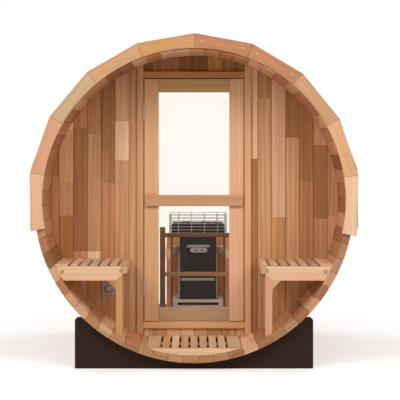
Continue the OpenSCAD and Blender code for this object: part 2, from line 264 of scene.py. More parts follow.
def new_group(name, kind, inputs, outputs):
    """A node group with its sockets, its input node's outputs and its output node"""
    tree = bpy.data.node_groups.new(name, kind)
    for label, (socket_kind, value) in inputs.items():
        made = tree.interface.new_socket(label, in_out="INPUT", socket_type="NodeSocket" + socket_kind)
        if value is not None:
            made.default_value = value
    for label, socket_kind in outputs.items():
        tree.interface.new_socket(label, in_out="OUTPUT", socket_type="NodeSocket" + socket_kind)
    return tree, tree.nodes.new("NodeGroupInput").outputs, tree.nodes.new("NodeGroupOutput").inputs


def new_material(name):
    """A material, its node tree and its main shader"""
    material = bpy.data.materials.new(name)
    material.use_nodes = True
    return material, material.node_tree, material.node_tree.nodes["Principled BSDF"]


print("node helpers ready")

# %% [markdown]
# ## The cedar grain group
# `At` is the place on the board, with its first axis along the grain. `Shift` moves the board to another
# part of the log, so no two boards match. The group bends the rings with soft noise, darkens the late wood
# at the end of each year, adds broad streaks and fine fibres, and gives out a colour, a roughness and a
# height for the bump.

# %% Cedar grain
LATE_WOOD = [(place, (grey, grey, grey, 1)) for place, grey in ((0.0, 0.1), (0.45, 0.15), (0.86, 1.0),
                                                                (1.0, 0.1))]


def build_cedar_grain():
    tree, given, result = new_group("cedar_grain", "ShaderNodeTree", {
        "At": ("Vector", None), "Shift": ("Vector", None), "Shade": ("Color", (0.6, 0.4, 0.2, 1)),
        "End": ("Float", 0.0), "Ring": ("Float", 0.004), "Contrast": ("Float", 0.5),
        "Streak": ("Float", 0.3)}, {"Colour": "Color", "Roughness": "Float", "Height": "Float"})
    place = vectors(tree, "ADD", given["At"], given["Shift"])
    along = add_node(tree, "ShaderNodeSeparateXYZ", {0: place}).outputs[0]

    # Distance from the pith, bent by knots and the taper of the trunk
    bend = noise(tree, vectors(tree, "MULTIPLY", place, (1.6, 11.0, 11.0)), detail=3.0)
    bend = maths(tree, "MULTIPLY", maths(tree, "SUBTRACT", bend, 0.5), 0.045)
    pith = vectors(tree, "LENGTH", vectors(tree, "MULTIPLY", place, (0.0, 1.0, 1.0)))
    distance = maths(tree, "ADD", maths(tree, "ADD", pith, bend), maths(tree, "MULTIPLY", along, 0.006))

    # Years: pale early wood that darkens to a sharp late edge
    year = maths(tree, "DIVIDE", distance, given["Ring"])
    late = ramp(tree, maths(tree, "FRACT", year), LATE_WOOD)
    strength = add_node(tree, "ShaderNodeTexWhiteNoise", {"W": maths(tree, "FLOOR", year)},
                        noise_dimensions="1D").outputs["Value"]
    late = maths(tree, "MULTIPLY", late, maths(tree, "MULTIPLY_ADD", strength, 0.7, 0.3))

    # Broad streaks follow the rings, and fibres follow the grain
    sweep = add_node(tree, "ShaderNodeCombineXYZ", {0: maths(tree, "MULTIPLY", along, 0.6),
                                                    1: maths(tree, "MULTIPLY", distance, 42.0)}).outputs[0]
    streak = noise(tree, sweep, detail=3.0, roughness=0.6)
    fibre = noise(tree, vectors(tree, "MULTIPLY", place, (22.0, 950.0, 950.0)), detail=1.0)
    warm = noise(tree, vectors(tree, "MULTIPLY", place, (0.9, 16.0, 16.0)), detail=1.0)

    tone = blended(tree, warm, vectors(tree, "MULTIPLY", given["Shade"], (1.03, 1.02, 0.92)),
                   vectors(tree, "MULTIPLY", given["Shade"], (1.0, 0.96, 1.02)))
    dark = vectors(tree, "MULTIPLY", tone, (0.66, 0.50, 0.40))
    tone = blended(tree, maths(tree, "MULTIPLY", late, given["Contrast"]), tone, dark)
    swing = maths(tree, "MULTIPLY", maths(tree, "SUBTRACT", streak, 0.5), given["Streak"])
    fine = maths(tree, "MULTIPLY", maths(tree, "SUBTRACT", fibre, 0.5), 0.16)
    tone = scaled(tree, tone, maths(tree, "ADD", 1.0, maths(tree, "ADD", swing, fine)))
    tone = blended(tree, given["End"], tone, vectors(tree, "MULTIPLY", tone, (0.80, 0.78, 0.78)))
    rough = maths(tree, "MULTIPLY_ADD", fibre, 0.16, maths(tree, "MULTIPLY_ADD", late, 0.08, 0.46))
    height = maths(tree, "SUBTRACT", maths(tree, "MULTIPLY", fibre, 0.5), late)
    for label, value in (("Colour", tone), ("Roughness", rough), ("Height", height)):
        tree.links.new(value, result[label])
    return tree


cedar_grain = build_cedar_grain()
print("cedar grain nodes:", len(cedar_grain.nodes))

# %% [markdown]
# ## Wood finishes
# A wooden piece carries four things on its mesh: `wood_at`, `board_shift`, `wood_shade` and `end_grain`. The
# material reads them and passes them to the grain group. Bare cedar is planed and matt, so its gloss is low.
# The cradles and the fence use the same group under a dark stain, which leaves less of the grain to see.

# %% Wood materials
GRAIN_FROM = {"At": ("wood_at", "Vector"), "Shift": ("board_shift", "Vector"),
              "Shade": ("wood_shade", "Color"), "End": ("end_grain", "Fac")}
GRAIN_DEPTH = 0.0004


def wood_material(name, ring, contrast, streak, gloss=0.2):
    material, tree, shader = new_material(name)
    values = {label: add_node(tree, "ShaderNodeAttribute", attribute_name=attribute).outputs[output]
              for label, (attribute, output) in GRAIN_FROM.items()}
    values.update({"Ring": ring, "Contrast": contrast, "Streak": streak})
    grain = add_node(tree, "ShaderNodeGroup", values, node_tree=cedar_grain).outputs
    fill(tree, shader, {"Base Color": grain["Colour"], "Roughness": grain["Roughness"],
                        "Normal": bumped(tree, grain["Height"], 0.6, GRAIN_DEPTH),
                        "Specular IOR Level": gloss})
    return material


cedar_stave = wood_material("cedar_stave", 0.0052, 0.5, 1.1)
cedar_board = wood_material("cedar_board", 0.0060, 0.55, 1.25)
cedar_trim = wood_material("cedar_trim", 0.0040, 0.42, 0.55)
cedar_slat = wood_material("cedar_slat", 0.0038, 0.42, 0.55)
flat_cedar = wood_material("flat_cedar", 0.0110, 1.3, 0.8)
stained_wood = wood_material("stained_wood", 0.0045, 0.4, 0.4, gloss=0.12)
print("wood materials:", [m.name for m in (cedar_stave, cedar_board, cedar_trim, cedar_slat, flat_cedar,
                                           stained_wood)])

# %% [markdown]
# ## Making boards
# A board is an outline pushed through its thickness, with its edges eased by a small bevel, because no
# planed board has a knife edge. `Timber` collects the boards of one piece. It works out where each point
# lies along the grain, picks the part of the log that the board is cut from, and marks the faces that show
# end grain. The helpers before it make a shape into a piece that rides on its CAD body.

# %% Shapes into pieces
X, Y, Z = Vector((1, 0, 0)), Vector((0, 1, 0)), Vector((0, 0, 1))


def to_mesh(bm, name):
    """The shape as a mesh"""
    mesh = bpy.data.meshes.new(name)
    bm.to_mesh(mesh)
    bm.free()
    return mesh


def settle(piece, body, slot, *nodes):
    """Hangs a finished piece on its CAD body, in place of the CAD nodes it stands for"""
    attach(piece, body)
    if nodes:
        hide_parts(*nodes)
    print(f"{piece.name}: {len(piece.data.polygons)} faces, rides on {body}")
    return piece


def linked(name, mesh, material):
    """A new object in the scene, at the origin"""
    mesh.materials.clear()
    mesh.materials.append(material)
    piece = bpy.data.objects.new(name, mesh)
    scene.collection.objects.link(piece)
    return piece


def finished(bm, name, body, slot, material, *nodes):
    """A mesh of metal or stone as a piece of the sauna"""
    bmesh.ops.recalc_face_normals(bm, faces=bm.faces)
    return settle(linked(name, to_mesh(bm, name), material), body, slot, *nodes)


def eased(bm, edges, width, segments=2):
    """Rounds edges with a small bevel"""
    bmesh.ops.bevel(bm, geom=edges, offset=width, segments=segments, profile=0.5, affect="EDGES",
                    clamp_overlap=True)


print("helpers for pieces ready")

# %% The board maker
FRONT_VIEW = (X, Z, Y)
BEVEL_ANGLE = 0.45
ALONG_GRAIN, END_FACING = 0.9, 0.8


def log_shift(dice, flat_sawn=0.35):
    """Where in the log a board is cut: beside the pith for arches, far out for straight lines"""
    along = dice.uniform(0, 30)
    if dice.random() < flat_sawn:
        return (along, dice.uniform(-0.05, 0.01), dice.uniform(0.05, 0.11))
    return (along, dice.uniform(0.14, 0.3), dice.uniform(0.0, 0.05))


class Timber:
    """Boards that are joined into one wooden piece"""

    def __init__(self, name, seed):
        self.name = name
        self.dice = random.Random(seed)
        self.bm = bmesh.new()
        self.at = self.bm.verts.layers.float_vector.new("wood_at")
        self.shift = self.bm.verts.layers.float_vector.new("board_shift")
        self.shade = self.bm.verts.layers.float_color.new("wood_shade")
        self.end = self.bm.faces.layers.float.new("end_grain")

    def eased_edges(self, piece, grain, long_only):
        edges = [e for e in piece.edges if e.calc_face_angle(0) > BEVEL_ANGLE]
        if not long_only:
            return edges
        front = [e for e in edges if all(abs(v.co.z) < 1e-6 for v in e.verts)]
        return [e for e in front if abs((e.verts[0].co - e.verts[1].co).normalized()[grain]) > ALONG_GRAIN]

    def board(self, outline, depth, y, names, z=0, axes=FRONT_VIEW, grain=1, edge=0.002,
              long_only=False, flat_sawn=0.35, spread=0.05):
        """Adds a board: an outline in its first two axes, pushed along its third"""
        outline = tidied(outline)
        if len(outline) < 3:
            return
        piece = bmesh.new()
        near = [piece.verts.new((u, v, 0)) for u, v in outline]
        far = [piece.verts.new((u, v, depth)) for u, v in outline]
        piece.faces.new(near)
        piece.faces.new(far)
        for i in range(len(outline)):
            piece.faces.new((near[i - 1], near[i], far[i], far[i - 1]))
        bmesh.ops.recalc_face_normals(piece, faces=piece.faces)
        edges = self.eased_edges(piece, grain, long_only)
        if edge > 0 and edges:
            eased(piece, edges, edge)
        self.take(piece, Vector((0, y, z)), axes, grain, shade(self.dice, names, spread),
                  log_shift(self.dice, flat_sawn))

    def block(self, x0, x1, z0, z1, depth, y, names, fit=True, **how):
        """Adds a board with a rectangular front, scribed to the barrel where it has to fit"""
        outline = rectangle(x0, x1, z0, z1)
        self.board(scribed(outline) if fit else outline, depth, y, names, **how)

    def take(self, piece, origin, axes, grain, tint, shift):
        """Copies a finished board into the piece, with what its grain needs"""
        others = [i for i in range(3) if i != grain]
        turned = axes[0].cross(axes[1]).dot(axes[2]) < 0
        copies = {}
        for v in piece.verts:
            made = self.bm.verts.new(origin + axes[0] * v.co.x + axes[1] * v.co.y + axes[2] * v.co.z)
            made[self.at] = (v.co[grain], v.co[others[0]], v.co[others[1]])
            made[self.shift] = shift
            made[self.shade] = tint
            copies[v] = made
        piece.normal_update()
        for f in piece.faces:
            corners = [copies[v] for v in f.verts]
            made = self.bm.faces.new(corners[::-1] if turned else corners)
            made[self.end] = float(abs(f.normal[grain]) > END_FACING)
        piece.free()

    def finish(self, body, slot, material, *nodes):
        """The piece as an object that rides on its body"""
        return settle(linked(self.name, to_mesh(self.bm, self.name), material), body, slot, *nodes)

    def template(self):
        """The piece outside the scene, for Geometry Nodes to repeat with other shades and shifts"""
        self.bm.verts.layers.float_vector.remove(self.shift)
        self.bm.verts.layers.float_color.remove(self.shade)
        return bpy.data.objects.new(self.name, to_mesh(self.bm, self.name))


print("board maker ready")

# %% [markdown]
# ## Geometry Nodes that repeat a piece
# Staves, slats, planks and screws repeat one shape. A Geometry Nodes tree places the copies and gives each
# its own shade and its own part of the log. The tree ends by making the copies real, because the exported
# model drops instances. Each tree has named inputs, so the same tree serves pieces of other sizes.

# %% Parts that the trees share
def chance(tree, kind, low, high, seed):
    """A random value for each copy"""
    made = add_node(tree, "FunctionNodeRandomValue", {"Min": low, "Max": high, "Seed": seed}, data_type=kind)
    return socket_named(made.outputs, "Value")


def give_each_its_board(tree, copies, seed, names):
    """Stores a random shade and a random place in the log on every copy"""
    cut = chance(tree, "FLOAT_VECTOR", (0.0, 0.13, 0.0), (30.0, 0.30, 0.08), seed)
    pick = chance(tree, "FLOAT", 0.0, 1.0, maths(tree, "ADD", seed, 7.0))
    level = chance(tree, "FLOAT", 0.94, 1.06, maths(tree, "ADD", seed, 13.0))
    stops = [(i / len(names), CEDAR[name]) for i, name in enumerate(names)]
    tint = scaled(tree, ramp(tree, pick, stops, "CONSTANT"), level)
    for label, kind, value in (("board_shift", "FLOAT_VECTOR", cut), ("wood_shade", "FLOAT_COLOR", tint)):
        copies = add_node(tree, "GeometryNodeStoreNamedAttribute", {
            "Geometry": copies, "Name": label, "Value": value}, data_type=kind, domain="INSTANCE").outputs[0]
    return copies


def instances(tree, points, piece, turn):
    """One copy of a piece on every point"""
    shape = add_node(tree, "GeometryNodeObjectInfo", {"Object": piece}).outputs["Geometry"]
    return add_node(tree, "GeometryNodeInstanceOnPoints", {
        "Points": points, "Instance": shape, "Rotation": turn}).outputs[0]


def close_tree(tree, copies, material, result):
    """Makes the copies real and gives them their material"""
    real = add_node(tree, "GeometryNodeRealizeInstances", {"Geometry": copies}).outputs[0]
    done = add_node(tree, "GeometryNodeSetMaterial", {"Geometry": real, "Material": material}).outputs[0]
    tree.links.new(done, result["Geometry"])


def grown(name, tree, values, points=None):
    """Runs a tree, and keeps its result as a plain mesh"""
    holder = bpy.data.objects.new(name, points or bpy.data.meshes.new(name + "_points"))
    scene.collection.objects.link(holder)
    builder = holder.modifiers.new("builder", "NODES")
    builder.node_group = tree
    for item in tree.interface.items_tree:
        if item.in_out == "INPUT" and item.name in values:
            builder[item.identifier] = values[item.name]
    graph = bpy.context.evaluated_depsgraph_get()
    mesh = bpy.data.meshes.new_from_object(holder.evaluated_get(graph), preserve_all_data_layers=True,
                                           depsgraph=graph)
    holder.modifiers.clear()
    holder.data = mesh
    template = values.get("Piece")
    if template:
        bpy.data.objects.remove(template)
    return holder


print("tree parts ready")

# %% Trees for rings and rows
def repeating_tree(name, inputs, lay_out, names):
    """Copies of one piece, each at the place and turn that a rule works out from its number"""
    tree, given, result = new_group(name, "GeometryNodeTree", {
        "Piece": ("Object", None), "Count": ("Int", 6), "Seed": ("Int", 1), "Material": ("Material", None),
        **inputs}, {"Geometry": "Geometry"})
    place, turn = lay_out(tree, given, add_node(tree, "GeometryNodeInputIndex").outputs[0])
    points = add_node(tree, "GeometryNodePoints", {"Count": given["Count"], "Position": place}).outputs[0]
    copies = instances(tree, points, given["Piece"], turn)
    close_tree(tree, give_each_its_board(tree, copies, given["Seed"], names), given["Material"], result)
    return tree


def ring_tree(names):
    """Copies of one piece round the barrel's centre line"""
    def lay_out(tree, given, index):
        least = maths(tree, "MULTIPLY", given["Slip"], -1.0)
        slip = chance(tree, "FLOAT", least, given["Slip"], given["Seed"])
        slide = add_node(tree, "ShaderNodeCombineXYZ", {1: slip}).outputs[0]
        angle = maths(tree, "MULTIPLY_ADD", index, given["Step Angle"], given["First Angle"])
        turn = add_node(tree, "ShaderNodeCombineXYZ", {1: maths(tree, "MULTIPLY", angle, -1.0)}).outputs[0]
        return vectors(tree, "ADD", given["Centre"], slide), turn

    return repeating_tree("ring_of_pieces", {
        "Centre": ("Vector", (0, 0, 1)), "First Angle": ("Float", 0.0), "Step Angle": ("Float", 0.1),
        "Slip": ("Float", 0.0005)}, lay_out, names)


def row_tree(names):
    """Copies of one piece in a straight row"""
    def lay_out(tree, given, index):
        return vectors(tree, "ADD", given["Start"], scaled(tree, given["Step"], index)), (0, 0, 0)

    return repeating_tree("row_of_pieces", {
        "Start": ("Vector", (0, 0, 0)), "Step": ("Vector", (0.1, 0, 0))}, lay_out, names)


print("trees ready")

# %% [markdown]
# ## The staves
# Each stave has a rounded bead along one edge and a matching hollow, the cove, along the other. They nest,
# so the barrel stays tight while the joint turns from stave to stave. The curved joint shows on the stave
# ends. One stave is drawn in the plane across the barrel, by radius and angle, and a ring tree repeats it.

# %% One stave, and the ring of them
JOINT_GAP = 0.0022
BEAD = 0.0065
BEAD_HALF = 0.015
ARRIS = 0.0010
OUTER_ROUND = 0.0040
STAVE_SLIP = 0.0006
JOINT_STEPS = 16
STAVE_SHADES = ["tan", "russet", "honey", "amber", "umber", "peach", "amber", "russet", "rose"]


def joint_bulge(radius):
    """How far the joint bows sideways at that distance from the centre line"""
    off = (radius - (OUTER_R + INNER_R) / 2) / BEAD_HALF
    return BEAD * math.sqrt(max(0.0, 1 - off * off))


def stave_outline(inset):
    """Section of a stave about angle 0, drawn in by an inset"""
    half, flat = STAVE_STEP / 2, math.cos(STAVE_STEP / 2)
    low, high = INNER_R * flat + inset, OUTER_R * flat - inset
    start, end = low + ARRIS, high - OUTER_ROUND
    radii = [start + (end - start) * i / JOINT_STEPS for i in range(JOINT_STEPS + 1)]

    def reach(radius):
        return radius * math.tan(half) - JOINT_GAP / 2 - inset

    shoulder = [(end + OUTER_ROUND * math.sin(a), reach(end) - OUTER_ROUND * (1 - math.cos(a)))
                for a in (math.pi / 8, math.pi / 4, math.pi * 3 / 8, math.pi / 2)]
    left = [(r, reach(r) + joint_bulge(r)) for r in radii] + shoulder
    right = [(r, -reach(r) + joint_bulge(r)) for r in radii] + [(r, -across) for r, across in shoulder]
    foot = reach(low) - ARRIS
    return [(low, foot)] + left + right[::-1] + [(low, -foot)]


def one_stave(span):
    """A stave as a loft through four sections, so that its ends have an eased edge too"""
    piece = bmesh.new()
    rings = []
    for inset, along in ((ARRIS, 0.0), (0.0, ARRIS), (0.0, span - ARRIS), (ARRIS, span)):
        rings.append([piece.verts.new((u, v, along)) for u, v in stave_outline(inset)])
    for a, b in zip(rings, rings[1:]):
        for i in range(len(a)):
            piece.faces.new((a[i - 1], a[i], b[i], b[i - 1]))
    piece.faces.new(rings[0])
    piece.faces.new(rings[-1])
    bmesh.ops.recalc_face_normals(piece, faces=piece.faces)
    return piece


stave = Timber("one_stave", 1)
stave.take(one_stave(barrel_high.y - barrel_low.y - 2 * STAVE_SLIP),
           Vector((0, barrel_low.y + STAVE_SLIP, 0)), FRONT_VIEW, 2, CEDAR["tan"], (0, 0, 0))
staves = grown("staves", ring_tree(STAVE_SHADES), {
    "Piece": stave.template(), "Count": STAVES, "Centre": (0, 0, CENTRE_Z),
    "First Angle": STAVE_PHASE - math.pi / 2 + STAVE_STEP / 2, "Step Angle": STAVE_STEP,
    "Slip": STAVE_SLIP, "Seed": 5, "Material": cedar_stave})
settle(staves, "cabin", "staves", *SHELLS)

# %% [markdown]
# ## End boards of the roof
# Ten boards stand in a fan round each end. Outside they are straight, and inside they follow a circle. Each
# is the wedge between two joints, cut off by the circle. Behind, the joints are even. In front each joint
# has its own angle, because the boards were cut by hand and the lowest two hang down by different amounts.
# The shades go from board to board as they do when a joiner picks pieces from a stack.

# %% End boards
FACE = math.radians(20)
FACES = 10
ARC_POINTS = 12
ROOF_T = 0.018
ROOF_LIFT = 0.0043
BOARD_GAP = 0.0006
SCREW_DEPTH = 0.0005
fascia_low, fascia_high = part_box("fascia_front")
ROOF_APOTHEM = OUTER_R + ROOF_LIFT + ROOF_T
ROOF_R = ROOF_APOTHEM / math.cos(FACE / 2)
ROOF_Z = fascia_high.z - ROOF_R
FASCIA_INNER = INNER_R - 0.007
FIRST_FACE = math.pi / 2 - FACES * FACE / 2
EVEN_JOINTS = [FIRST_FACE + FACE * k for k in range(FACES + 1)]
FRONT_JOINTS = [math.radians(a) for a in (-12.7, 8.5, 29.0, 49.4, 69.4, 89.7, 110, 130, 150, 170.6, 190.9)]
FRONT_FAN = ["straw", "honey", "tan", "russet", "russet", "amber", "tan", "weathered", "rose", "peach"]


def face_axes(angle, depth_axis):
    """Out and along one face of the roof"""
    out = Vector((math.cos(angle), 0, math.sin(angle)))
    return (out, Vector((-math.sin(angle), 0, math.cos(angle))), depth_axis)


def end_board_outline(low, high):
    """One end board between two joints, drawn round angle 0: straight outside, an arc inside"""
    half = (high - low) / 2
    corners = []
    for joint, side in ((low, -1), (high, 1)):
        reach = min(ROOF_R, fascia_high.x / max(abs(math.cos(joint)), 0.5))
        corners.append((reach * math.cos(half), side * (reach * math.sin(half) - BOARD_GAP / 2)))
    arc = [(half - BOARD_GAP / 2 / FASCIA_INNER) * (1 - 2 * i / ARC_POINTS) for i in range(ARC_POINTS + 1)]
    return corners + [(FASCIA_INNER * math.cos(a), FASCIA_INNER * math.sin(a)) for a in arc]


def end_boards(name, front_y, depth_axis, joints, shades, seed, node):
    ring = Timber(name, seed)
    thick = fascia_high.y - fascia_low.y - SCREW_DEPTH
    for low, high, tint in zip(joints, joints[1:], shades):
        ring.board(end_board_outline(low, high), thick, front_y, [tint], z=ROOF_Z,
                   axes=face_axes((low + high) / 2, depth_axis), edge=0.0022, flat_sawn=0.3, spread=0.03)
    return ring.finish("cabin", "light_cedar", cedar_trim, node)


end_boards("end_boards_front", cad_box[0][1] + SCREW_DEPTH, Y, FRONT_JOINTS, FRONT_FAN, 8, "fascia_front")
end_boards("end_boards_rear", cad_box[1][1] - SCREW_DEPTH, -Y, EVEN_JOINTS, FRONT_FAN[::-1], 9,
           "fascia_rear")

# %% [markdown]
# ## Screws
# Small steel screws hold the boards. A screw head is a low dome with a square socket. It is turned on a
# lathe, that is, a half profile is swept round an axis, and Geometry Nodes sets a copy on every point of a
# cloud. Each point carries the turn that faces its screw outwards.

# %% Turned parts, boxes and steel
def lathe(bm, profile, place, steps=24):
    """Turns (radius, height) pairs round the third axis of a place"""
    rings = []
    for radius, height in profile:
        turns = 1 if radius < 1e-6 else steps
        angles = [math.tau * i / steps for i in range(turns)]
        rings.append([bm.verts.new(place @ Vector((radius * math.cos(a), radius * math.sin(a), height)))
                      for a in angles])
    for low, high in zip(rings, rings[1:]):
        for i in range(steps):
            j = (i + 1) % steps
            corners = [low[i % len(low)], low[j % len(low)], high[j % len(high)], high[i % len(high)]]
            bm.faces.new(list(dict.fromkeys(corners))).smooth = True


def soft_box(bm, low, high, edge=0.002, segments=2):
    """A box with eased edges"""
    verts = bmesh.ops.create_cube(bm, size=1.0)["verts"]
    for v in verts:
        v.co = Vector([(high[i] + low[i]) / 2 + v.co[i] * (high[i] - low[i]) for i in range(3)])
    eased(bm, list(dict.fromkeys(e for v in verts for e in v.link_edges)), edge, segments)


def metal_material(name, tint, roughness, metallic=1.0):
    """Metal with fine brush lines, and faint clouds where hands and weather have been"""
    material, tree, shader = new_material(name)
    place = add_node(tree, "ShaderNodeTexCoord").outputs["Object"]
    lines = noise(tree, vectors(tree, "MULTIPLY", place, (3, 900, 900)))
    clouds = noise(tree, place, scale=9.0, detail=3.0)
    rough = maths(tree, "MULTIPLY_ADD", lines, 0.06, maths(tree, "MULTIPLY_ADD", clouds, 0.12, roughness))
    fill(tree, shader, {
        "Base Color": scaled(tree, tint[:3], maths(tree, "MULTIPLY_ADD", clouds, 0.24, 0.88)),
        "Roughness": rough, "Normal": bumped(tree, lines, 0.5, 0.00005), "Metallic": metallic})
    return material


steel = metal_material("brushed_steel", colour(172, 172, 170), 0.32)
wire_steel = metal_material("rack_wire_steel", colour(186, 188, 190), 0.45, metallic=0.35)
screw_steel = metal_material("screw_steel", colour(172, 170, 164), 0.35)
print("steels:", steel.name, wire_steel.name, screw_steel.name)

# %% Screws
SCREW_PROFILE = [(0.0050, -0.0010), (0.0050, 0.0), (0.0043, 0.0004), (0.0022, 0.0005), (0.0017, -0.0008),
                 (0.0, -0.0008)]
SCREW_FROM_JOINT = 0.045


def point_tree():
    """Copies of one piece on points that carry their own turn"""
    tree, given, result = new_group("pieces_on_points", "GeometryNodeTree", {
        "Points": ("Geometry", None), "Piece": ("Object", None), "Material": ("Material", None)},
        {"Geometry": "Geometry"})
    turn = add_node(tree, "GeometryNodeInputNamedAttribute", {"Name": "turn"}, data_type="FLOAT_VECTOR")
    copies = instances(tree, given["Points"], given["Piece"], socket_named(turn.outputs, "Attribute"))
    close_tree(tree, copies, given["Material"], result)
    return tree


def screws(name, places):
    """Screws at (point, outward direction) places"""
    mesh = bpy.data.meshes.new(name + "_points")
    mesh.from_pydata([tuple(point) for point, out in places], [], [])
    turns = mesh.attributes.new("turn", "FLOAT_VECTOR", "POINT")
    for value, (point, out) in zip(turns.data, places):
        value.vector = out.to_track_quat("Z", "Y").to_euler()
    screw = bmesh.new()
    lathe(screw, SCREW_PROFILE, Matrix.Identity(4), steps=12)
    template = bpy.data.objects.new("one_screw", to_mesh(screw, "one_screw"))
    made = grown(name, screw_points, {"Piece": template, "Material": screw_steel}, points=mesh)
    return settle(made, "cabin", "steel")


def end_board_screws(y, out, joints):
    """Two screws in each end board, near its joints"""
    radius = (FASCIA_INNER + ROOF_APOTHEM) / 2
    places = []
    for low, high in zip(joints, joints[1:]):
        side, along, _ = face_axes((low + high) / 2, Y)
        reach = radius * math.tan((high - low) / 2) - SCREW_FROM_JOINT
        for sign in (-1, 1):
            places.append((Vector((0, y, ROOF_Z)) + side * radius + along * sign * reach, out))
    return places


screw_points = point_tree()
screws("end_board_screws", end_board_screws(cad_box[0][1] + SCREW_DEPTH, -Y, FRONT_JOINTS)
       + end_board_screws(cad_box[1][1] - SCREW_DEPTH, Y, EVEN_JOINTS))

# %% [markdown]
# ## Roof planks
# Between the two fans each flat face of the roof is boarded with three planks, side by side along the
# barrel. One plank is made at angle 0, shifted sideways for its lane, and a ring tree takes it round.

# %% Roof
LANES = 3
LANE_GAP = 0.0015
ROOF_SLIP = 0.0005
ROOF_SHADES = ["russet", "tan", "rose", "umber", "honey"]
roof_half = (ROOF_APOTHEM - ROOF_T) * math.tan(FACE / 2) - BOARD_GAP / 2
lane_w = 2 * roof_half / LANES

for lane, nodes in enumerate((["roof_left"], ["roof_right"], [])):
    plank = Timber(f"roof_plank_{lane}", lane)
    low = -roof_half + lane * lane_w + LANE_GAP / 2
    plank.block(ROOF_APOTHEM - ROOF_T, ROOF_APOTHEM, low, low + lane_w - LANE_GAP,
                barrel_high.y - barrel_low.y - 2 * ROOF_SLIP, barrel_low.y + ROOF_SLIP, ["tan"], fit=False,
                grain=2, edge=0.003, spread=0)
    planks = grown(f"roof_lane_{lane + 1}", ring_tree(ROOF_SHADES), {
        "Piece": plank.template(), "Count": FACES, "Centre": (0, 0, ROOF_Z),
        "First Angle": FIRST_FACE + FACE / 2, "Step Angle": FACE, "Slip": ROOF_SLIP, "Seed": 20 + lane,
        "Material": cedar_stave})
    settle(planks, "cabin", "roof_boards", *nodes)

# %% [markdown]
# ## Hoops
# Steel bands pull the staves together. The CAD bands already have their true section, so they keep their
# shape and get brushed steel. Each band is drawn tight by a bolt through two folded lugs, low on one side.

# %% Hoops and their tighteners
HOOP_W = 0.025
LUG_ANGLE = math.radians(-28)
LUG_HALF, LUG_TALL, LUG_T = 0.030, 0.018, 0.002
LUG_STAND, BOLT_OUT = 0.0005, 0.010
BOLT = [(0, -0.044), (0.003, -0.044), (0.003, 0.036), (0.0065, 0.036), (0.0065, 0.041), (0, 0.041)]


def paint(material, *nodes):
    """Gives CAD pieces whose shape is right their finish"""
    for name in nodes:
        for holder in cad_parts[name].material_slots:
            holder.material = material
    print("painted with", material.name + ":", ", ".join(nodes))


paint(steel, "hoops")
hoop_low, hoop_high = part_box("hoops")
lugs = bmesh.new()
out, along, _ = face_axes(LUG_ANGLE, Y)
turned = Matrix((out, Y, along)).transposed().to_4x4()
for y in (hoop_low.y + HOOP_W / 2, 0.0, hoop_high.y - HOOP_W / 2):
    foot = Vector((0, y, CENTRE_Z)) + out * (OUTER_R + LUG_STAND)
    for sign in (-1, 1):
        before = len(lugs.verts)
        soft_box(lugs, (0, -HOOP_W / 2, sign * LUG_HALF - LUG_T),
                 (LUG_TALL, HOOP_W / 2, sign * LUG_HALF + LUG_T), edge=0.0008)
        lugs.verts.ensure_lookup_table()
        bmesh.ops.transform(lugs, matrix=Matrix.Translation(foot) @ turned, verts=lugs.verts[before:])
    shaft = Matrix.Translation(foot + out * BOLT_OUT) @ along.to_track_quat("Z", "Y").to_matrix().to_4x4()
    lathe(lugs, BOLT, shaft, steps=16)
finished(lugs, "hoop_tighteners", "cabin", "steel", steel)

# %% [markdown]
# ## Cradles
# The barrel lies in two planks that are hollowed to its curve and stained almost black. The hollow is the
# ring of stave corners, so the outline is the plank's front with that many-sided bite taken out of it.

# %% Cradles
CRADLE_CHAMFER = 0.014


def cradle_outline(half, top):
    """Front of a cradle: chamfered shoulders, and the hollow for the barrel"""
    start = math.asin((top - CENTRE_Z) / OUTER_R)
    corners = [STAVE_PHASE - math.pi / 2 + k * STAVE_STEP for k in range(-STAVES // 4, STAVES // 4)]
    hollow = [on_ring(OUTER_R, a, CENTRE_Z) for a in corners if -math.pi - start < a < start]
    rim = math.sqrt(OUTER_R ** 2 - (top - CENTRE_Z) ** 2)
    shoulder = [(half, 0), (half, top - CRADLE_CHAMFER), (half - CRADLE_CHAMFER, top), (rim, top)]
    return [(-half, 0)] + shoulder + hollow[::-1] + [(-x, z) for x, z in shoulder[:0:-1]]


for name in ("cradle_front", "cradle_rear"):
    low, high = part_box(name)
    plank = Timber(name + "_plank", 3)
    plank.board(cradle_outline(high.x, high.z), high.y - low.y, low.y, ["stain"], grain=0, edge=0.003,
                flat_sawn=1.0)
    plank.finish("cabin", "dark_stain", stained_wood, name)

# %% [markdown]
# ## Walls
# Upright boards fill the barrel behind the porch. They are about 86 mm wide, with a small V along each
# joint, and short offcuts are butted end to end, so each board changes colour at its own heights. A thin
# core behind the boards stops light in the joints, as the tongues do on the real wall. Its dark cocoa
# shade is painted shade, so that the joints read dark.
#
# Every run is a list of pieces from the top down. A piece is its lowest height and its shade.

# %% Boards of a wall
PITCH = 0.0857
V_EDGE = 0.0026
V_GAP = 0.0018
FACE_T = 0.013
SLIMMEST = 0.01

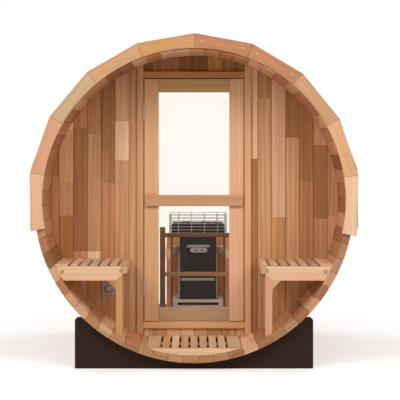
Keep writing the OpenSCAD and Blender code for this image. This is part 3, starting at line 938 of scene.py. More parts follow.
LEFT_RUNS = [
    [(1.37, "tan"), (GROUND, "tan")],
    [(1.46, "honey"), (1.22, "straw"), (GROUND, "tan")],
    [(1.28, "umber"), (1.08, "chestnut"), (GROUND, "russet")],
    [(1.38, "russet"), (0.66, "tan"), (0.57, "pale"), (GROUND, "amber")],
    [(1.42, "russet"), (1.15, "chestnut"), (0.83, "chestnut"), (0.66, "chestnut"), (GROUND, "rose")],
    [(1.41, "straw"), (1.09, "honey"), (0.88, "rose"), (GROUND, "gold")],
    [(1.12, "chestnut"), (GROUND, "russet")],
]
RIGHT_RUNS = [
    [(1.23, "straw"), (GROUND, "chestnut")],
    [(1.60, "amber"), (GROUND, "tan")],
    [(0.87, "peach"), (GROUND, "amber")],
    [(1.36, "chestnut"), (GROUND, "tan")],
    [(1.09, "chestnut"), (GROUND, "russet")],
    [(1.315, "tan"), (0.86, "chestnut"), (GROUND, "tan")],
    [(0.875, "tan"), (GROUND, "rose")],
]
# The boards over the door take the darkest shades: partly their own colour, and partly painted shade from the
# porch roof above them. The rear wall repeats them over its window.
OVER_DOOR_SHADED = ["cocoa", "umber", "umber", "cocoa", "cocoa", "gold", "umber", "chestnut"]
UNDER_DOOR = ["peach", "tan", "peach", "straw", "honey", "amber", "tan", "honey"]


def run_of_boards(wall, x0, x1, y, out, run, top=TOP, bottom=GROUND):
    """One board's width, made of pieces butted end to end"""
    x0, x1 = sorted((x0, x1))
    high = top
    for low, name in run:
        low = max(low, bottom)
        if low < high:
            wall.block(x0 + V_GAP / 2, x1 - V_GAP / 2, low, high, FACE_T, y, [name], axes=(X, Z, -out),
                       edge=V_EDGE, long_only=True)
        high = low


def side_runs(wall, side, start, first_w, runs, y, out):
    """Boards from an opening out to the staves, on one side"""
    edges = [start, start + first_w] + [start + first_w + PITCH * k for k in range(1, len(runs))]
    for near, far, run in zip(edges, edges[1:], runs):
        far = min(far, INNER_R)
        if far - near > SLIMMEST:
            run_of_boards(wall, side * near, side * far, y, out, run)


def middle_runs(wall, half, shades, y, out, bottom, top):
    """Boards above or below an opening"""
    count = len(shades)
    edges = [-half] + [PITCH * (k - count / 2) for k in range(1, count)] + [half]
    for x0, x1, name in zip(edges, edges[1:], shades):
        x0, x1 = max(x0, -half), min(x1, half)
        if x1 - x0 > SLIMMEST:
            run_of_boards(wall, x0, x1, y, out, [(bottom, name)], top=top, bottom=bottom)


def boarded_wall(name, seed, y0, y1, sides, start, middle, *nodes):
    """A wall with boards on both faces of its core, round an opening. Nodes are what it replaces."""
    wall = Timber(name, seed)
    half, z0, z1, over, under = middle
    for y, out in ((y0, -Y), (y1, Y)):
        for side, first_w, runs in sides:
            side_runs(wall, side, start, first_w, runs, y, out)
        middle_runs(wall, half, over, y, out, z1, TOP)
        middle_runs(wall, half, under, y, out, GROUND, z0)
    # The core takes the dark cocoa shade as painted shade for the joints between the boards.
    for x0, x1, low, high in ((-TOP, -start, GROUND, TOP), (start, TOP, GROUND, TOP), (-half, half, z1, TOP),
                              (-half, half, GROUND, z0)):
        wall.block(x0, x1, low, high, y1 - y0 - 2 * FACE_T, y0 + FACE_T, ["cocoa"], edge=0.0)
    return wall.finish("cabin", "wall_boards", cedar_board, *nodes)


print("runs of boards:", len(LEFT_RUNS), "left,", len(RIGHT_RUNS), "right")

# %% Front wall
wall_low, wall_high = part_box("front_wall_left")
header_low, header_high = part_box("door_trim")
WALL_Y0, WALL_Y1 = wall_low.y, wall_high.y
CASING_OUT, OPENING = -wall_high.x, header_high.x
doorway = (OPENING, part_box("front_wall_bottom")[1].z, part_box("front_wall_top")[0].z, OVER_DOOR_SHADED, UNDER_DOOR)
boarded_wall("front_wall", 14, WALL_Y0, WALL_Y1, ((-1, 0.050, LEFT_RUNS), (1, 0.042, RIGHT_RUNS)),
             CASING_OUT, doorway, "front_wall_left", "front_wall_right", "front_wall_top",
             "front_wall_bottom")

# %% [markdown]
# ## Rear wall
# The far end repeats the same boards round a tall window. Nothing else is known about that side, so it stays
# plain. Slim beads hold the pane in its opening.

# %% Rear wall and its window beads
rear_low, rear_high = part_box("rear_wall_left")
pane_low, pane_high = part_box("rear_glass")
WINDOW = pane_high.x
BEAD_W, BEAD_D = 0.014, 0.011
BEAD_SHADES = ["peach", "honey"]
boarded_wall("rear_wall", 15, rear_low.y, rear_high.y, ((-1, 0.062, RIGHT_RUNS), (1, 0.062, LEFT_RUNS)),
             WINDOW, (WINDOW, pane_low.z, pane_high.z, OVER_DOOR_SHADED[::-1], UNDER_DOOR),
             "rear_wall_left", "rear_wall_right", "rear_rails")


def bead_frame(beads, y):
    """Four mitred beads round the pane"""
    x, w, z0, z1 = WINDOW, BEAD_W, pane_low.z, pane_high.z
    for side in (-1, 1):
        upright = [(side * x, z0), (side * x, z1), (side * (x - w), z1 - w), (side * (x - w), z0 + w)]
        beads.board(upright, BEAD_D, y, BEAD_SHADES, edge=0.0015)
    for z, inner in ((z0, z0 + w), (z1, z1 - w)):
        beads.board([(-x, z), (x, z), (x - w, inner), (-x + w, inner)], BEAD_D, y, BEAD_SHADES, grain=0,
                    edge=0.0015)


beads = Timber("rear_window_beads", 16)
bead_frame(beads, pane_low.y - BEAD_D)
bead_frame(beads, pane_high.y)
beads.finish("cabin", "trim_cedar", cedar_trim)

# %% [markdown]
# ## Door casing
# Two uprights run from the floor staves to the roof staves, and a header and a sill close the doorway
# between them. Inside the opening a narrow stop catches the leaf. The stop is dark umber as painted shade,
# so the gap round the leaf reads dark.

# %% Casing, header and sill
casing_low, casing_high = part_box("casing_right")
leaf_low, leaf_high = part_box("door_stiles")
CASING_Y0, CASING_T = casing_low.y, casing_high.y - casing_low.y
CASING_EDGE, STOP_EDGE, STOP_W = 0.0025, 0.0015, 0.016
DOOR_GAP = OPENING - leaf_high.x
STOP_Y0 = leaf_high.y + DOOR_GAP
STOP_T = casing_high.y - STOP_Y0
OPENING_Z0, OPENING_Z1 = leaf_low.z - DOOR_GAP, leaf_high.z + DOOR_GAP

for side, name, tint, seed in ((-1, "casing_left", "tan", 31), (1, "casing_right", "honey", 32)):
    upright = Timber(name + "_upright", seed)
    upright.block(side * CASING_OUT, side * OPENING, GROUND, TOP, CASING_T, CASING_Y0, [tint],
                  edge=CASING_EDGE, flat_sawn=0.0)
    # The stop's dark umber shade is painted shade for the gap beside the leaf.
    upright.block(side * (OPENING - STOP_W), side * OPENING, OPENING_Z0, OPENING_Z1, STOP_T, STOP_Y0,
                  ["umber"], fit=False, edge=STOP_EDGE)
    upright.finish("cabin", "trim_cedar", cedar_trim, name)

trim = Timber("door_header_and_sill", 33)
for low, high, tint in ((OPENING_Z1, header_high.z, "gold"), (header_low.z, OPENING_Z0, "honey")):
    trim.block(-OPENING, OPENING, low, high, CASING_T, CASING_Y0, [tint], fit=False, grain=0,
               edge=CASING_EDGE, flat_sawn=0.0)
# The stop's dark umber shade is painted shade for the gap above the leaf.
trim.block(-OPENING + STOP_W, OPENING - STOP_W, OPENING_Z1 - STOP_W, OPENING_Z1, STOP_T, STOP_Y0, ["umber"],
           fit=False, grain=0, edge=STOP_EDGE)
trim.finish("cabin", "trim_cedar", cedar_trim, "door_trim")

# %% [markdown]
# ## Door leaf
# The leaf is two long stiles with one sheet of glass let in between them. Flat-sawn rails stand behind the
# glass at head and foot. Their shades are duller than those of the stiles, because they are seen through
# it. A plain bar crosses the front and serves as the pull. All of it rides on the door body, and so swings
# with the hinge.

# %% Door leaf
rail_low, rail_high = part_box("door_rails")
bar_low, bar_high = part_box("door_bar")
STILE_IN = rail_high.x
RAIL_H = 0.082
GLASS_AIR = 0.0006

stiles = Timber("door_leaf_stiles", 41)
for x0, x1, tint in ((leaf_low.x, -STILE_IN, "honey"), (STILE_IN, leaf_high.x, "peach")):
    stiles.block(x0, x1, leaf_low.z, leaf_high.z, leaf_high.y - leaf_low.y, leaf_low.y, [tint], fit=False,
                 flat_sawn=0.0, spread=0.01)
stiles.finish("door", "door_cedar", cedar_trim, "door_stiles")

rails = Timber("door_leaf_rails", 12)
for z0, tint in ((rail_low.z, "toffee"), (rail_high.z - RAIL_H, "olive")):
    rails.block(-STILE_IN, STILE_IN, z0, z0 + RAIL_H, rail_high.y - rail_low.y - GLASS_AIR,
                rail_low.y + GLASS_AIR, [tint], fit=False, grain=0, flat_sawn=1.0)
rails.finish("door", "door_cedar", flat_cedar, "door_rails")

bar = Timber("door_cross_bar", 43)
bar.block(bar_low.x, bar_high.x, bar_low.z, bar_high.z, bar_high.y - bar_low.y, bar_low.y, ["tan"],
          fit=False, grain=0, edge=0.004, flat_sawn=0.0)
bar.finish("door", "door_cedar", cedar_trim, "door_bar")

# %% [markdown]
# ## Glass and hinges
# The panes are clear toughened glass with a very slight tint. They bend light less than real glass does, so
# they mirror less and the heater stays easy to see. Glass in a path tracer also throws a dark shadow, since
# lamps can't find their way through it. So rays that look for a lamp meet a clear shader with a slight tint,
# and everything else meets glass.
#
# The hinge knuckles turn on their pin just in front of the gap beside the leaf. Their CAD shape is exact,
# because the joint depends on it, so they only get brushed steel.

# %% Glass and hinges
GLASS_IOR = 1.2
GLASS_TINT, CLEAR_TINT = colour(254, 253, 247), colour(252, 252, 246)


def surface_mix(tree, share, first, second):
    """Two shaders mixed by a share, as the material's surface"""
    mix = add_node(tree, "ShaderNodeMixShader", {0: share, 1: first.outputs[0], 2: second.outputs[0]})
    tree.links.new(mix.outputs[0], tree.nodes["Material Output"].inputs["Surface"])


def glass_material():
    material, tree, shader = new_material("door_and_window_glass")
    fill(tree, shader, {"Base Color": GLASS_TINT, "Roughness": 0.0, "IOR": GLASS_IOR,
                        "Transmission Weight": 1.0})
    clear = add_node(tree, "ShaderNodeBsdfTransparent", {"Color": CLEAR_TINT})
    path = add_node(tree, "ShaderNodeLightPath")
    surface_mix(tree, path.outputs["Is Shadow Ray"], shader, clear)
    return material


paint(glass_material(), "door_glass", "rear_glass")
paint(steel, "door_hinges", "frame_hinges")

# %% [markdown]
# ## Porch benches
# Each bench is a box frame on one leg, scribed to the barrel at its far side, with slats across it. The
# slats run from the front to the wall, so a row tree repeats one of them. The last slat is wider and is
# scribed to the staves, so it is a board of its own.

# %% Bench slats
SLAT_EDGE = 0.0025
SLAT_W, SLAT_PITCH, SLATS = 0.041, 0.0576, 6
SLAT_LIFT = 0.004
SLAT_SHADES = ["driftwood", "driftwood", "driftwood", "straw", "weathered"]
bench_low, bench_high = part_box("bench_right_slats")
BENCH_IN, SLAT_Z0, BENCH_TOP = bench_low.x, bench_low.z + SLAT_LIFT, bench_high.z
BENCH_Y0, BENCH_Y1 = bench_low.y, bench_high.y
slat_row = row_tree(SLAT_SHADES)


def slat_template(width, thick, y0, y1, name):
    """A slat that runs from front to back, with its low left edge at the origin"""
    slat = Timber(name, 2)
    slat.block(0, width, 0, thick, y1 - y0, y0, ["tan"], fit=False, grain=2, edge=SLAT_EDGE, spread=0)
    return slat.template()


for side, name in ((-1, "left"), (1, "right")):
    row = grown(f"bench_{name}_slat_row", slat_row, {
        "Piece": slat_template(SLAT_W, BENCH_TOP - SLAT_Z0, BENCH_Y0, BENCH_Y1, "one_slat"), "Count": SLATS,
        "Start": (BENCH_IN if side > 0 else -BENCH_IN - SLAT_W, 0, SLAT_Z0),
        "Step": (side * SLAT_PITCH, 0, 0), "Seed": 52 + side, "Material": cedar_slat})
    settle(row, "cabin", "light_cedar", f"bench_{name}_slats")
    edge_slat = Timber(f"bench_{name}_edge_slat", 55 + side)
    edge_slat.block(side * (BENCH_IN + SLATS * SLAT_PITCH), side * TOP, SLAT_Z0, BENCH_TOP,
                    BENCH_Y1 - BENCH_Y0, BENCH_Y0, ["straw"], grain=2, edge=SLAT_EDGE)
    edge_slat.finish("cabin", "light_cedar", cedar_slat)

# %% [markdown]
# The frame under the slats has an apron in front, a board along its open side, a cleat and a beam on the
# wall, a beam in front, a leg and a gusset. Leg and beam meet in a mitre. Two small blocks of another shade
# show their end grain in the apron, where it is housed.

# %% Bench frames
APRON_T, SIDE_T, CLEAT_T, BEAM_T, GUSSET_T = 0.032, 0.030, 0.028, 0.038, 0.018
APRON_H, BEAM_H, LEG_W = 0.043, 0.040, 0.041
LEG_SET, GUSSET_W, GUSSET_H, GUSSET_SET = 0.024, 0.050, 0.052, 0.002
HOUSING, WALL_BEAM_SET = 0.0012, 0.018
BLOCK, BLOCK_PROUD = 0.021, 0.0008
END_BLOCKS = ((SIDE_T, 0.015, 0.008), (0.755 - BENCH_IN, 0.024, 0.001))
frame_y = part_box("bench_right_frame")[0].y
apron_z = SLAT_Z0 - APRON_H
beam_z = apron_z - BEAM_H
leg_x = BENCH_IN + LEG_SET
leg_far = leg_x + LEG_W


def mitred(outline, side, keep_beam):
    """Cuts the corner of leg and beam along its mitre"""
    outer, inner = (side * leg_x, apron_z), (side * leg_far, beam_z)
    run = (inner[0] - outer[0], inner[1] - outer[1])
    forward = (side > 0) == keep_beam
    return cut_off(outline, outer, run if forward else (-run[0], -run[1]))


def bench_frame(name, side, seed, leg_shade, gusset_shade):
    made = Timber(name + "_timber", seed)
    near, far = side * BENCH_IN, side * TOP
    made.block(near + side * (SIDE_T + HOUSING), far, apron_z, SLAT_Z0, APRON_T, frame_y, ["straw"], grain=0,
               flat_sawn=0.0)
    made.block(near, near + side * SIDE_T, apron_z, SLAT_Z0, BENCH_Y1 - frame_y, frame_y, ["peach"],
               fit=False, grain=2)
    made.block(near + side * SIDE_T, far, apron_z, SLAT_Z0, CLEAT_T, BENCH_Y1 - CLEAT_T, ["rose"], grain=0)
    made.block(near + side * WALL_BEAM_SET, far, beam_z, apron_z, BEAM_T, BENCH_Y1 - BEAM_T, ["russet"],
               grain=0)
    beam = mitred(rectangle(side * leg_x, far, beam_z, apron_z), side, True)
    made.board(scribed(beam), BEAM_T, frame_y, ["peach"], grain=0, flat_sawn=0.0)
    leg = mitred(rectangle(side * leg_x, side * leg_far, GROUND, apron_z), side, False)
    made.board(scribed(leg), BEAM_T, frame_y, [leg_shade], flat_sawn=0.0)
    gusset = [(side * leg_far, beam_z), (side * (leg_far + GUSSET_W), beam_z),
              (side * leg_far, beam_z - GUSSET_H)]
    made.board(gusset, GUSSET_T, frame_y + GUSSET_SET, [gusset_shade], edge=0.001)
    for start, width, lift in END_BLOCKS:
        made.block(near + side * (start + HOUSING), near + side * (start + width), apron_z + lift,
                   apron_z + lift + BLOCK, BLOCK_PROUD, frame_y - BLOCK_PROUD, ["weathered"], fit=False,
                   grain=2, edge=0.0003)
    return made.finish("cabin", "light_cedar", cedar_trim, name)


bench_frame("bench_left_frame", -1, 61, "amber", "russet")
bench_frame("bench_right_frame", 1, 62, "rose", "honey")

# %% [markdown]
# ## Porch step
# A duckboard lies in the foot of the barrel: seven narrow slats between two wide ones, on three bearers that
# are scribed to the staves. The front bearer shows as a pale board with a curved foot. The other two lie in
# the dark under the slats, and their near-black shade is painted shade. Only a strip along the top of the
# middle one keeps the pale cedar shade, where some light catches it.

# %% Step
STEP_WIDE, STEP_SLAT, STEP_COUNT = 0.077, 0.043, 7
BEARER_T, LIT_TOP = 0.030, 0.012
STEP_SHADES = ["driftwood", "driftwood", "weathered", "driftwood", "tan"]
step_low, step_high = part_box("step_slats")
bearer_low, bearer_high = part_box("step_frame")
step_gap = (step_high.x - step_low.x - 2 * STEP_WIDE - STEP_COUNT * STEP_SLAT) / (STEP_COUNT + 1)
step_row = grown("step_slat_row", row_tree(STEP_SHADES), {
    "Piece": slat_template(STEP_SLAT, step_high.z - step_low.z, step_low.y, step_high.y, "one_step_slat"),
    "Count": STEP_COUNT, "Start": (step_low.x + STEP_WIDE + step_gap, 0, step_low.z),
    "Step": (STEP_SLAT + step_gap, 0, 0), "Seed": 71, "Material": cedar_slat})
settle(step_row, "cabin", "light_cedar", "step_slats")

wide = Timber("step_edge_slats", 72)
for x0 in (step_low.x, step_high.x - STEP_WIDE):
    wide.block(x0, x0 + STEP_WIDE, step_low.z, step_high.z, step_high.y - step_low.y, step_low.y,
               ["weathered"], grain=2, edge=SLAT_EDGE)
wide.finish("cabin", "light_cedar", cedar_slat)

lit_top_z = step_low.z - LIT_TOP
middle_y, rear_y = (step_low.y + step_high.y - BEARER_T) / 2, bearer_high.y - BEARER_T
bearers = Timber("step_bearers", 73)
# The near-black shade on the middle and rear bearers is painted shade for the dark under the slats.
for y, low, high, tint in (
        (bearer_low.y, GROUND, step_low.z, "straw"), (middle_y, GROUND, lit_top_z, "painted_shade"),
        (middle_y, lit_top_z, step_low.z, "straw"), (rear_y, GROUND, step_low.z, "painted_shade")):
    bearers.block(-TOP, TOP, low, high, BEARER_T, y, [tint], grain=0, edge=0.0015, flat_sawn=0.0)
bearers.finish("cabin", "light_cedar", cedar_trim, "step_frame")

# %% [markdown]
# ## Vent
# Under the left bench a square steel plate carries a domed cap, and a screw holds each corner. The cap is
# turned on the lathe: a skirt, a rolled rim and a shallow dome. Its steel is darker and warmer than the
# rest: partly its own colour, and partly a painted reflection of the cedar round it.

# %% Vent
VENT_W, VENT_T, CAP_R, VENT_SCREW = 0.080, 0.003, 0.023, 0.030
CAP = [(0.003, 0.55), (0.0, 0.58), (0.0, 0.72), (0.004, 0.9), (0.012, 1.0)]
vent_low, vent_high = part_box("vent")
vent_x, vent_z = (vent_low.x + vent_high.x) / 2, (vent_low.z + vent_high.z) / 2
vent_y, cap_height = WALL_Y0 - VENT_T, WALL_Y0 - vent_low.y

vent = bmesh.new()
soft_box(vent, (vent_x - VENT_W / 2, vent_y, vent_z - VENT_W / 2),
         (vent_x + VENT_W / 2, WALL_Y0, vent_z + VENT_W / 2), edge=0.0009)
facing = Matrix.Translation((vent_x, WALL_Y0, vent_z)) @ Matrix.Rotation(math.radians(90), 4, "X")
profile = [(CAP_R - inset, cap_height * share) for inset, share in CAP]
lathe(vent, [(0, 0.002), (CAP_R - 0.003, 0.002)] + profile + [(0, cap_height)], facing, steps=40)
# Darker, warmer steel: partly the plate's own colour, partly a painted reflection of the cedar round it.
vent_steel_painted_reflection = metal_material("vent_steel_painted_reflection", colour(150, 134, 118), 0.5)
finished(vent, "wall_vent", "cabin", "steel", vent_steel_painted_reflection, "vent")
screws("vent_screws", [(Vector((vent_x + i * VENT_SCREW, vent_y, vent_z + k * VENT_SCREW)), -Y)
                       for i in (-1, 1) for k in (-1, 1)])

# %% [markdown]
# ## The heater
# The heater is a dark sheet-metal box on a stainless base. In front it has a sunken apron that narrows
# downwards under a steel lip, an oval control plate with two small openings, and a second strip lower down.
# The enamel is hammered: cells of a soft pattern push its surface in and out.

# %% Heater finishes
def enamel_material(name, tint, rough, cell=0.006, depth=0.0006):
    material, tree, shader = new_material(name)
    place = add_node(tree, "ShaderNodeTexCoord").outputs["Object"]
    cells = add_node(tree, "ShaderNodeTexVoronoi", {"Vector": place, "Scale": 1 / cell}, feature="SMOOTH_F1")
    dust = noise(tree, place, scale=14.0, detail=4.0)
    fill(tree, shader, {
        "Base Color": scaled(tree, tint[:3], maths(tree, "MULTIPLY_ADD", dust, 0.5, 0.75)),
        "Roughness": maths(tree, "MULTIPLY_ADD", dust, 0.2, rough), "Specular IOR Level": 0.3,
        "Normal": bumped(tree, cells.outputs["Distance"], 0.3, depth)})
    return material


dark_enamel = enamel_material("dark_enamel", colour(33, 29, 25), 0.5)
black_enamel = enamel_material("black_enamel", colour(19, 16, 13), 0.6)
red_lamp = enamel_material("red_pilot", colour(120, 30, 24), 0.3)
print("heater finishes ready")


# %% Plates with a shaped outline
def quarter_arc(x, y, radius, quarter, steps):
    """Points on a quarter of a circle, counted from +X"""
    angles = [(quarter + i / steps) * math.pi / 2 for i in range(steps + 1)]
    return [(x + radius * math.cos(a), y + radius * math.sin(a)) for a in angles]


def hood_outline(width, top, drop):
    """Front of the sunken apron: wide above, and narrowing to a round foot"""
    points = [(-width / 2, top), (-width / 2 * 0.97, top - drop * 0.3)]
    for i in range(9):
        a = math.pi + math.pi * i / 8
        points.append((width * 0.40 * math.cos(a), top - drop * 0.62 + drop * 0.38 * math.sin(a)))
    return points + [(width / 2 * 0.97, top - drop * 0.3), (width / 2, top)]


def oval(width, height, middle, steps=10):
    """A bar with half-round ends"""
    r = height / 2
    points = []
    for sign, start in ((1, -math.pi / 2), (-1, math.pi / 2)):
        for i in range(steps + 1):
            a = start + math.pi * i / steps
            points.append((sign * (width / 2 - r) + r * math.cos(a), middle + r * math.sin(a)))
    return points


def raised_plate(bm, outline, x, y0, y1, edge):
    """A flat plate with eased front edges, from an outline about its own centre line"""
    near = [bm.verts.new((x + u, y0, z)) for u, z in outline]
    far = [bm.verts.new((x + u, y1, z)) for u, z in outline]
    face = bm.faces.new(near)
    bm.faces.new(far[::-1])
    for i in range(len(outline)):
        bm.faces.new((near[i - 1], near[i], far[i], far[i - 1]))
    bmesh.ops.recalc_face_normals(bm, faces=bm.faces)
    eased(bm, list(face.edges), edge)


print("corners of an oval plate:", len(oval(0.1, 0.03, 0.0)))

# %% Heater body
PANEL_IN, PANEL_EDGE, PANEL_T = 0.004, 0.0035, 0.012
LOW_PANEL_TOP, HIGH_PANEL_FOOT, PANEL_TOP_SET = 0.118, 0.152, 0.006
HOOD_W, HOOD_DROP, HOOD_SET = 0.150, 0.155, 0.070
PLATE_W, PLATE_H, PLATE_DROP, PLATE_ASIDE = 0.116, 0.032, 0.018, 0.005
LIP_LEFT, LIP_RIGHT, LIP_H, LIP_OUT = 0.074, 0.080, 0.019, 0.016
STRIP_IN, STRIP_OUT, STRIP_Z0, STRIP_Z1 = 0.010, 0.010, 0.126, 0.144
PILOT_PLACES, PILOT_HALF = (-0.018, 0.028), 0.011
PILOT_LOW, PILOT_HIGH = 0.0225, 0.0145
body_low, body_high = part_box("heater_body")
HEATER_X = (body_low.x + body_high.x) / 2
FRONT = body_low.y
HOOD_TOP = body_high.z - HOOD_SET

body = bmesh.new()
soft_box(body, (body_low.x, FRONT + PANEL_IN, body_low.z), body_high, edge=0.006, segments=3)
for z0, z1 in ((body_low.z + PANEL_IN, body_low.z + LOW_PANEL_TOP),
               (body_low.z + HIGH_PANEL_FOOT, body_high.z - PANEL_TOP_SET)):
    soft_box(body, (body_low.x + PANEL_IN, FRONT, z0), (body_high.x - PANEL_IN, FRONT + PANEL_T, z1),
             edge=PANEL_EDGE)
finished(body, "heater_casing", "cabin", "heater_enamel", dark_enamel, "heater_body")

hood = bmesh.new()
raised_plate(hood, hood_outline(HOOD_W, HOOD_TOP, HOOD_DROP), HEATER_X, FRONT - 0.003, FRONT + 0.002, 0.002)
finished(hood, "heater_hood", "cabin", "heater_enamel", black_enamel)

fittings = bmesh.new()
raised_plate(fittings, oval(PLATE_W, PLATE_H, HOOD_TOP - PLATE_DROP), HEATER_X + PLATE_ASIDE,
             FRONT - 0.007, FRONT - 0.002, 0.0015)
soft_box(fittings, (HEATER_X - LIP_LEFT, FRONT - LIP_OUT, HOOD_TOP),
         (HEATER_X + LIP_RIGHT, FRONT, HOOD_TOP + LIP_H), edge=0.004, segments=3)
soft_box(fittings, (body_low.x + STRIP_IN, FRONT - STRIP_OUT, body_low.z + STRIP_Z0),
         (body_high.x - STRIP_IN, FRONT + 0.006, body_low.z + STRIP_Z1), edge=0.003)
finished(fittings, "heater_fittings", "cabin", "steel", steel)

pilots = bmesh.new()
for x in PILOT_PLACES:
    soft_box(pilots, (HEATER_X + x - PILOT_HALF, FRONT - 0.0085, HOOD_TOP - PILOT_LOW),
             (HEATER_X + x + PILOT_HALF, FRONT - 0.005, HOOD_TOP - PILOT_HIGH), edge=0.001)
finished(pilots, "heater_pilot_windows", "cabin", "heater_enamel", red_lamp)

# %% [markdown]
# ## Heater base
# The stainless base is a shallow tray with a slotted opening in front, where air is drawn in. The slots are
# fins in a dark recess, and a row tree repeats one fin. Two bearers carry the base on the staves.

# %% Base
BASE_TALL, RIM, RECESS = 0.048, 0.030, 0.020
FOOT_BAND, TOP_BAND = 0.009, 0.020
BASE_BEARER = 0.040
FINS, FIN_W, FIN_HALF = 20, 0.0035, 0.0018
FIN_SET, FIN_LAP, BAND_LAP = 0.004, 0.001, 0.002
base_low, base_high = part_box("heater_base")
x0, x1, y0, y1 = base_low.x, base_high.x, base_low.y, base_high.y
base_z = base_high.z - BASE_TALL
slot_z0, slot_z1 = base_z + FOOT_BAND, base_high.z - TOP_BAND
band_y = y0 + RECESS + BAND_LAP

base = bmesh.new()
soft_box(base, (x0, y0 + RECESS, base_z), (x1, y1, base_high.z), edge=0.003)
for low, high in ((base_z, slot_z0), (slot_z1, base_high.z)):
    soft_box(base, (x0, y0, low), (x1, band_y, high))
for low, high in ((x0, x0 + RIM), (x1 - RIM, x1)):
    soft_box(base, (low, y0, slot_z0), (high, band_y, slot_z1), edge=0.0004)
for y in (FRONT, body_high.y - BASE_BEARER):
    raised_plate(base, scribed(rectangle(x0, x1, GROUND, base_z)), 0.0, y, y + BASE_BEARER, 0.001)
base_steel = metal_material("base_steel", colour(206, 206, 204), 0.5, metallic=0.4)
finished(base, "heater_stand", "cabin", "steel", base_steel, "heater_base")

fin = bmesh.new()
soft_box(fin, (0, y0 + FIN_SET, slot_z0 - FIN_LAP), (FIN_W, y0 + RECESS, slot_z1 + FIN_LAP), edge=0.0006)
fin_step = (x1 - x0 - 2 * RIM) / (FINS + 1)
fins = grown("base_fins", slat_row, {
    "Piece": bpy.data.objects.new("one_fin", to_mesh(fin, "one_fin")), "Count": FINS,
    "Start": (x0 + RIM + fin_step - FIN_HALF, 0, 0), "Step": (fin_step, 0, 0), "Seed": 1,
    "Material": black_enamel})
settle(fins, "cabin", "heater_enamel")

grille = bmesh.new()
soft_box(grille, (x0 + RIM, y0 + RECESS - 0.001, slot_z0), (x1 - RIM, y0 + RECESS + 0.001, slot_z1),
         edge=0.0003)
finished(grille, "base_recess", "cabin", "heater_enamel", black_enamel)

# %% [markdown]
# ## Stones
# Dark volcanic stones fill a black tray on top of the heater. Each is a rough ball: an icosphere whose
# points are pushed by noise. The tree scatters them over three layers of points with a chance turn and size,
# so neighbours overlap and settle like a real pile.

# %% Stones
STONE = 0.025
LAYERS, COLUMNS, ROWS = 3, 9, 7
PILE_INSET, LAYER_INSET = 0.030, 0.016
PILE_FOOT, LAYER_RISE = 0.028, 0.022
stone_low, stone_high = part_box("heater_stones")


def stone_tree():
    tree, given, result = new_group("pile_of_stones", "GeometryNodeTree", {
        "Points": ("Geometry", None), "Stone Size": ("Float", 0.03), "Roughness": ("Float", 0.35),
        "Seed": ("Int", 1), "Material": ("Material", None)}, {"Geometry": "Geometry"})
    ball = add_node(tree, "GeometryNodeMeshIcoSphere", {"Radius": given["Stone Size"], "Subdivisions": 3})
    turn = chance(tree, "FLOAT_VECTOR", (0.0, 0.0, 0.0), (6.28, 6.28, 6.28), given["Seed"])
    size = chance(tree, "FLOAT_VECTOR", (0.75, 0.6, 0.55), (1.15, 1.0, 0.85),
                  maths(tree, "ADD", given["Seed"], 3.0))
    copies = add_node(tree, "GeometryNodeInstanceOnPoints", {
        "Points": given["Points"], "Instance": ball.outputs["Mesh"], "Rotation": turn,
        "Scale": size}).outputs[0]
    real = add_node(tree, "GeometryNodeRealizeInstances", {"Geometry": copies}).outputs[0]
    lumps = noise(tree, add_node(tree, "GeometryNodeInputPosition").outputs[0], scale=32.0)
    push = maths(tree, "MULTIPLY", maths(tree, "SUBTRACT", lumps, 0.5),
                 maths(tree, "MULTIPLY", given["Stone Size"], given["Roughness"]))
    outward = add_node(tree, "GeometryNodeInputNormal").outputs[0]
    rough = add_node(tree, "GeometryNodeSetPosition", {
        "Geometry": real, "Offset": scaled(tree, outward, push)}).outputs[0]
    done = add_node(tree, "GeometryNodeSetMaterial", {"Geometry": rough, "Material": given["Material"]})
    tree.links.new(done.outputs[0], result["Geometry"])
    return tree


dice = random.Random(91)
pile = []
for level in range(LAYERS):
    inset = PILE_INSET + LAYER_INSET * level
    z = stone_low.z + PILE_FOOT + level * LAYER_RISE
    columns, rows = COLUMNS - level, ROWS - level
    for i in range(columns):
        for k in range(rows):
            u = (i + dice.uniform(0.3, 0.7)) / columns
            v = (k + dice.uniform(0.3, 0.7)) / rows
            pile.append((stone_low.x + inset + u * (stone_high.x - stone_low.x - 2 * inset),
                         stone_low.y + inset + v * (stone_high.y - stone_low.y - 2 * inset),
                         z + dice.uniform(-0.004, 0.003)))
pile_mesh = bpy.data.meshes.new("stone_places")
pile_mesh.from_pydata(pile, [], [])
stone_rock = enamel_material("volcanic_stone", colour(58, 56, 54), 0.75, cell=0.004, depth=0.0015)
stones = grown("sauna_stones", stone_tree(), {"Stone Size": STONE, "Roughness": 0.7, "Seed": 4,
                                              "Material": stone_rock}, points=pile_mesh)
settle(stones, "cabin", "stones", "heater_stones")

# %% Stone tray
TRAY_H, TRAY_WALL, TRAY_ROUND, TRAY_EDGE = 0.088, 0.002, 0.014, 0.0006
tx0, tx1, ty0, ty1 = stone_low.x, stone_high.x, stone_low.y, stone_high.y
tz0, tz1 = stone_low.z, stone_low.z + TRAY_H
shoulder_z = tz1 - TRAY_ROUND
shouldered = ([(tx0, tz0), (tx1, tz0)] + quarter_arc(tx1 - TRAY_ROUND, shoulder_z, TRAY_ROUND, 0, 5)
              + quarter_arc(tx0 + TRAY_ROUND, shoulder_z, TRAY_ROUND, 1, 5))

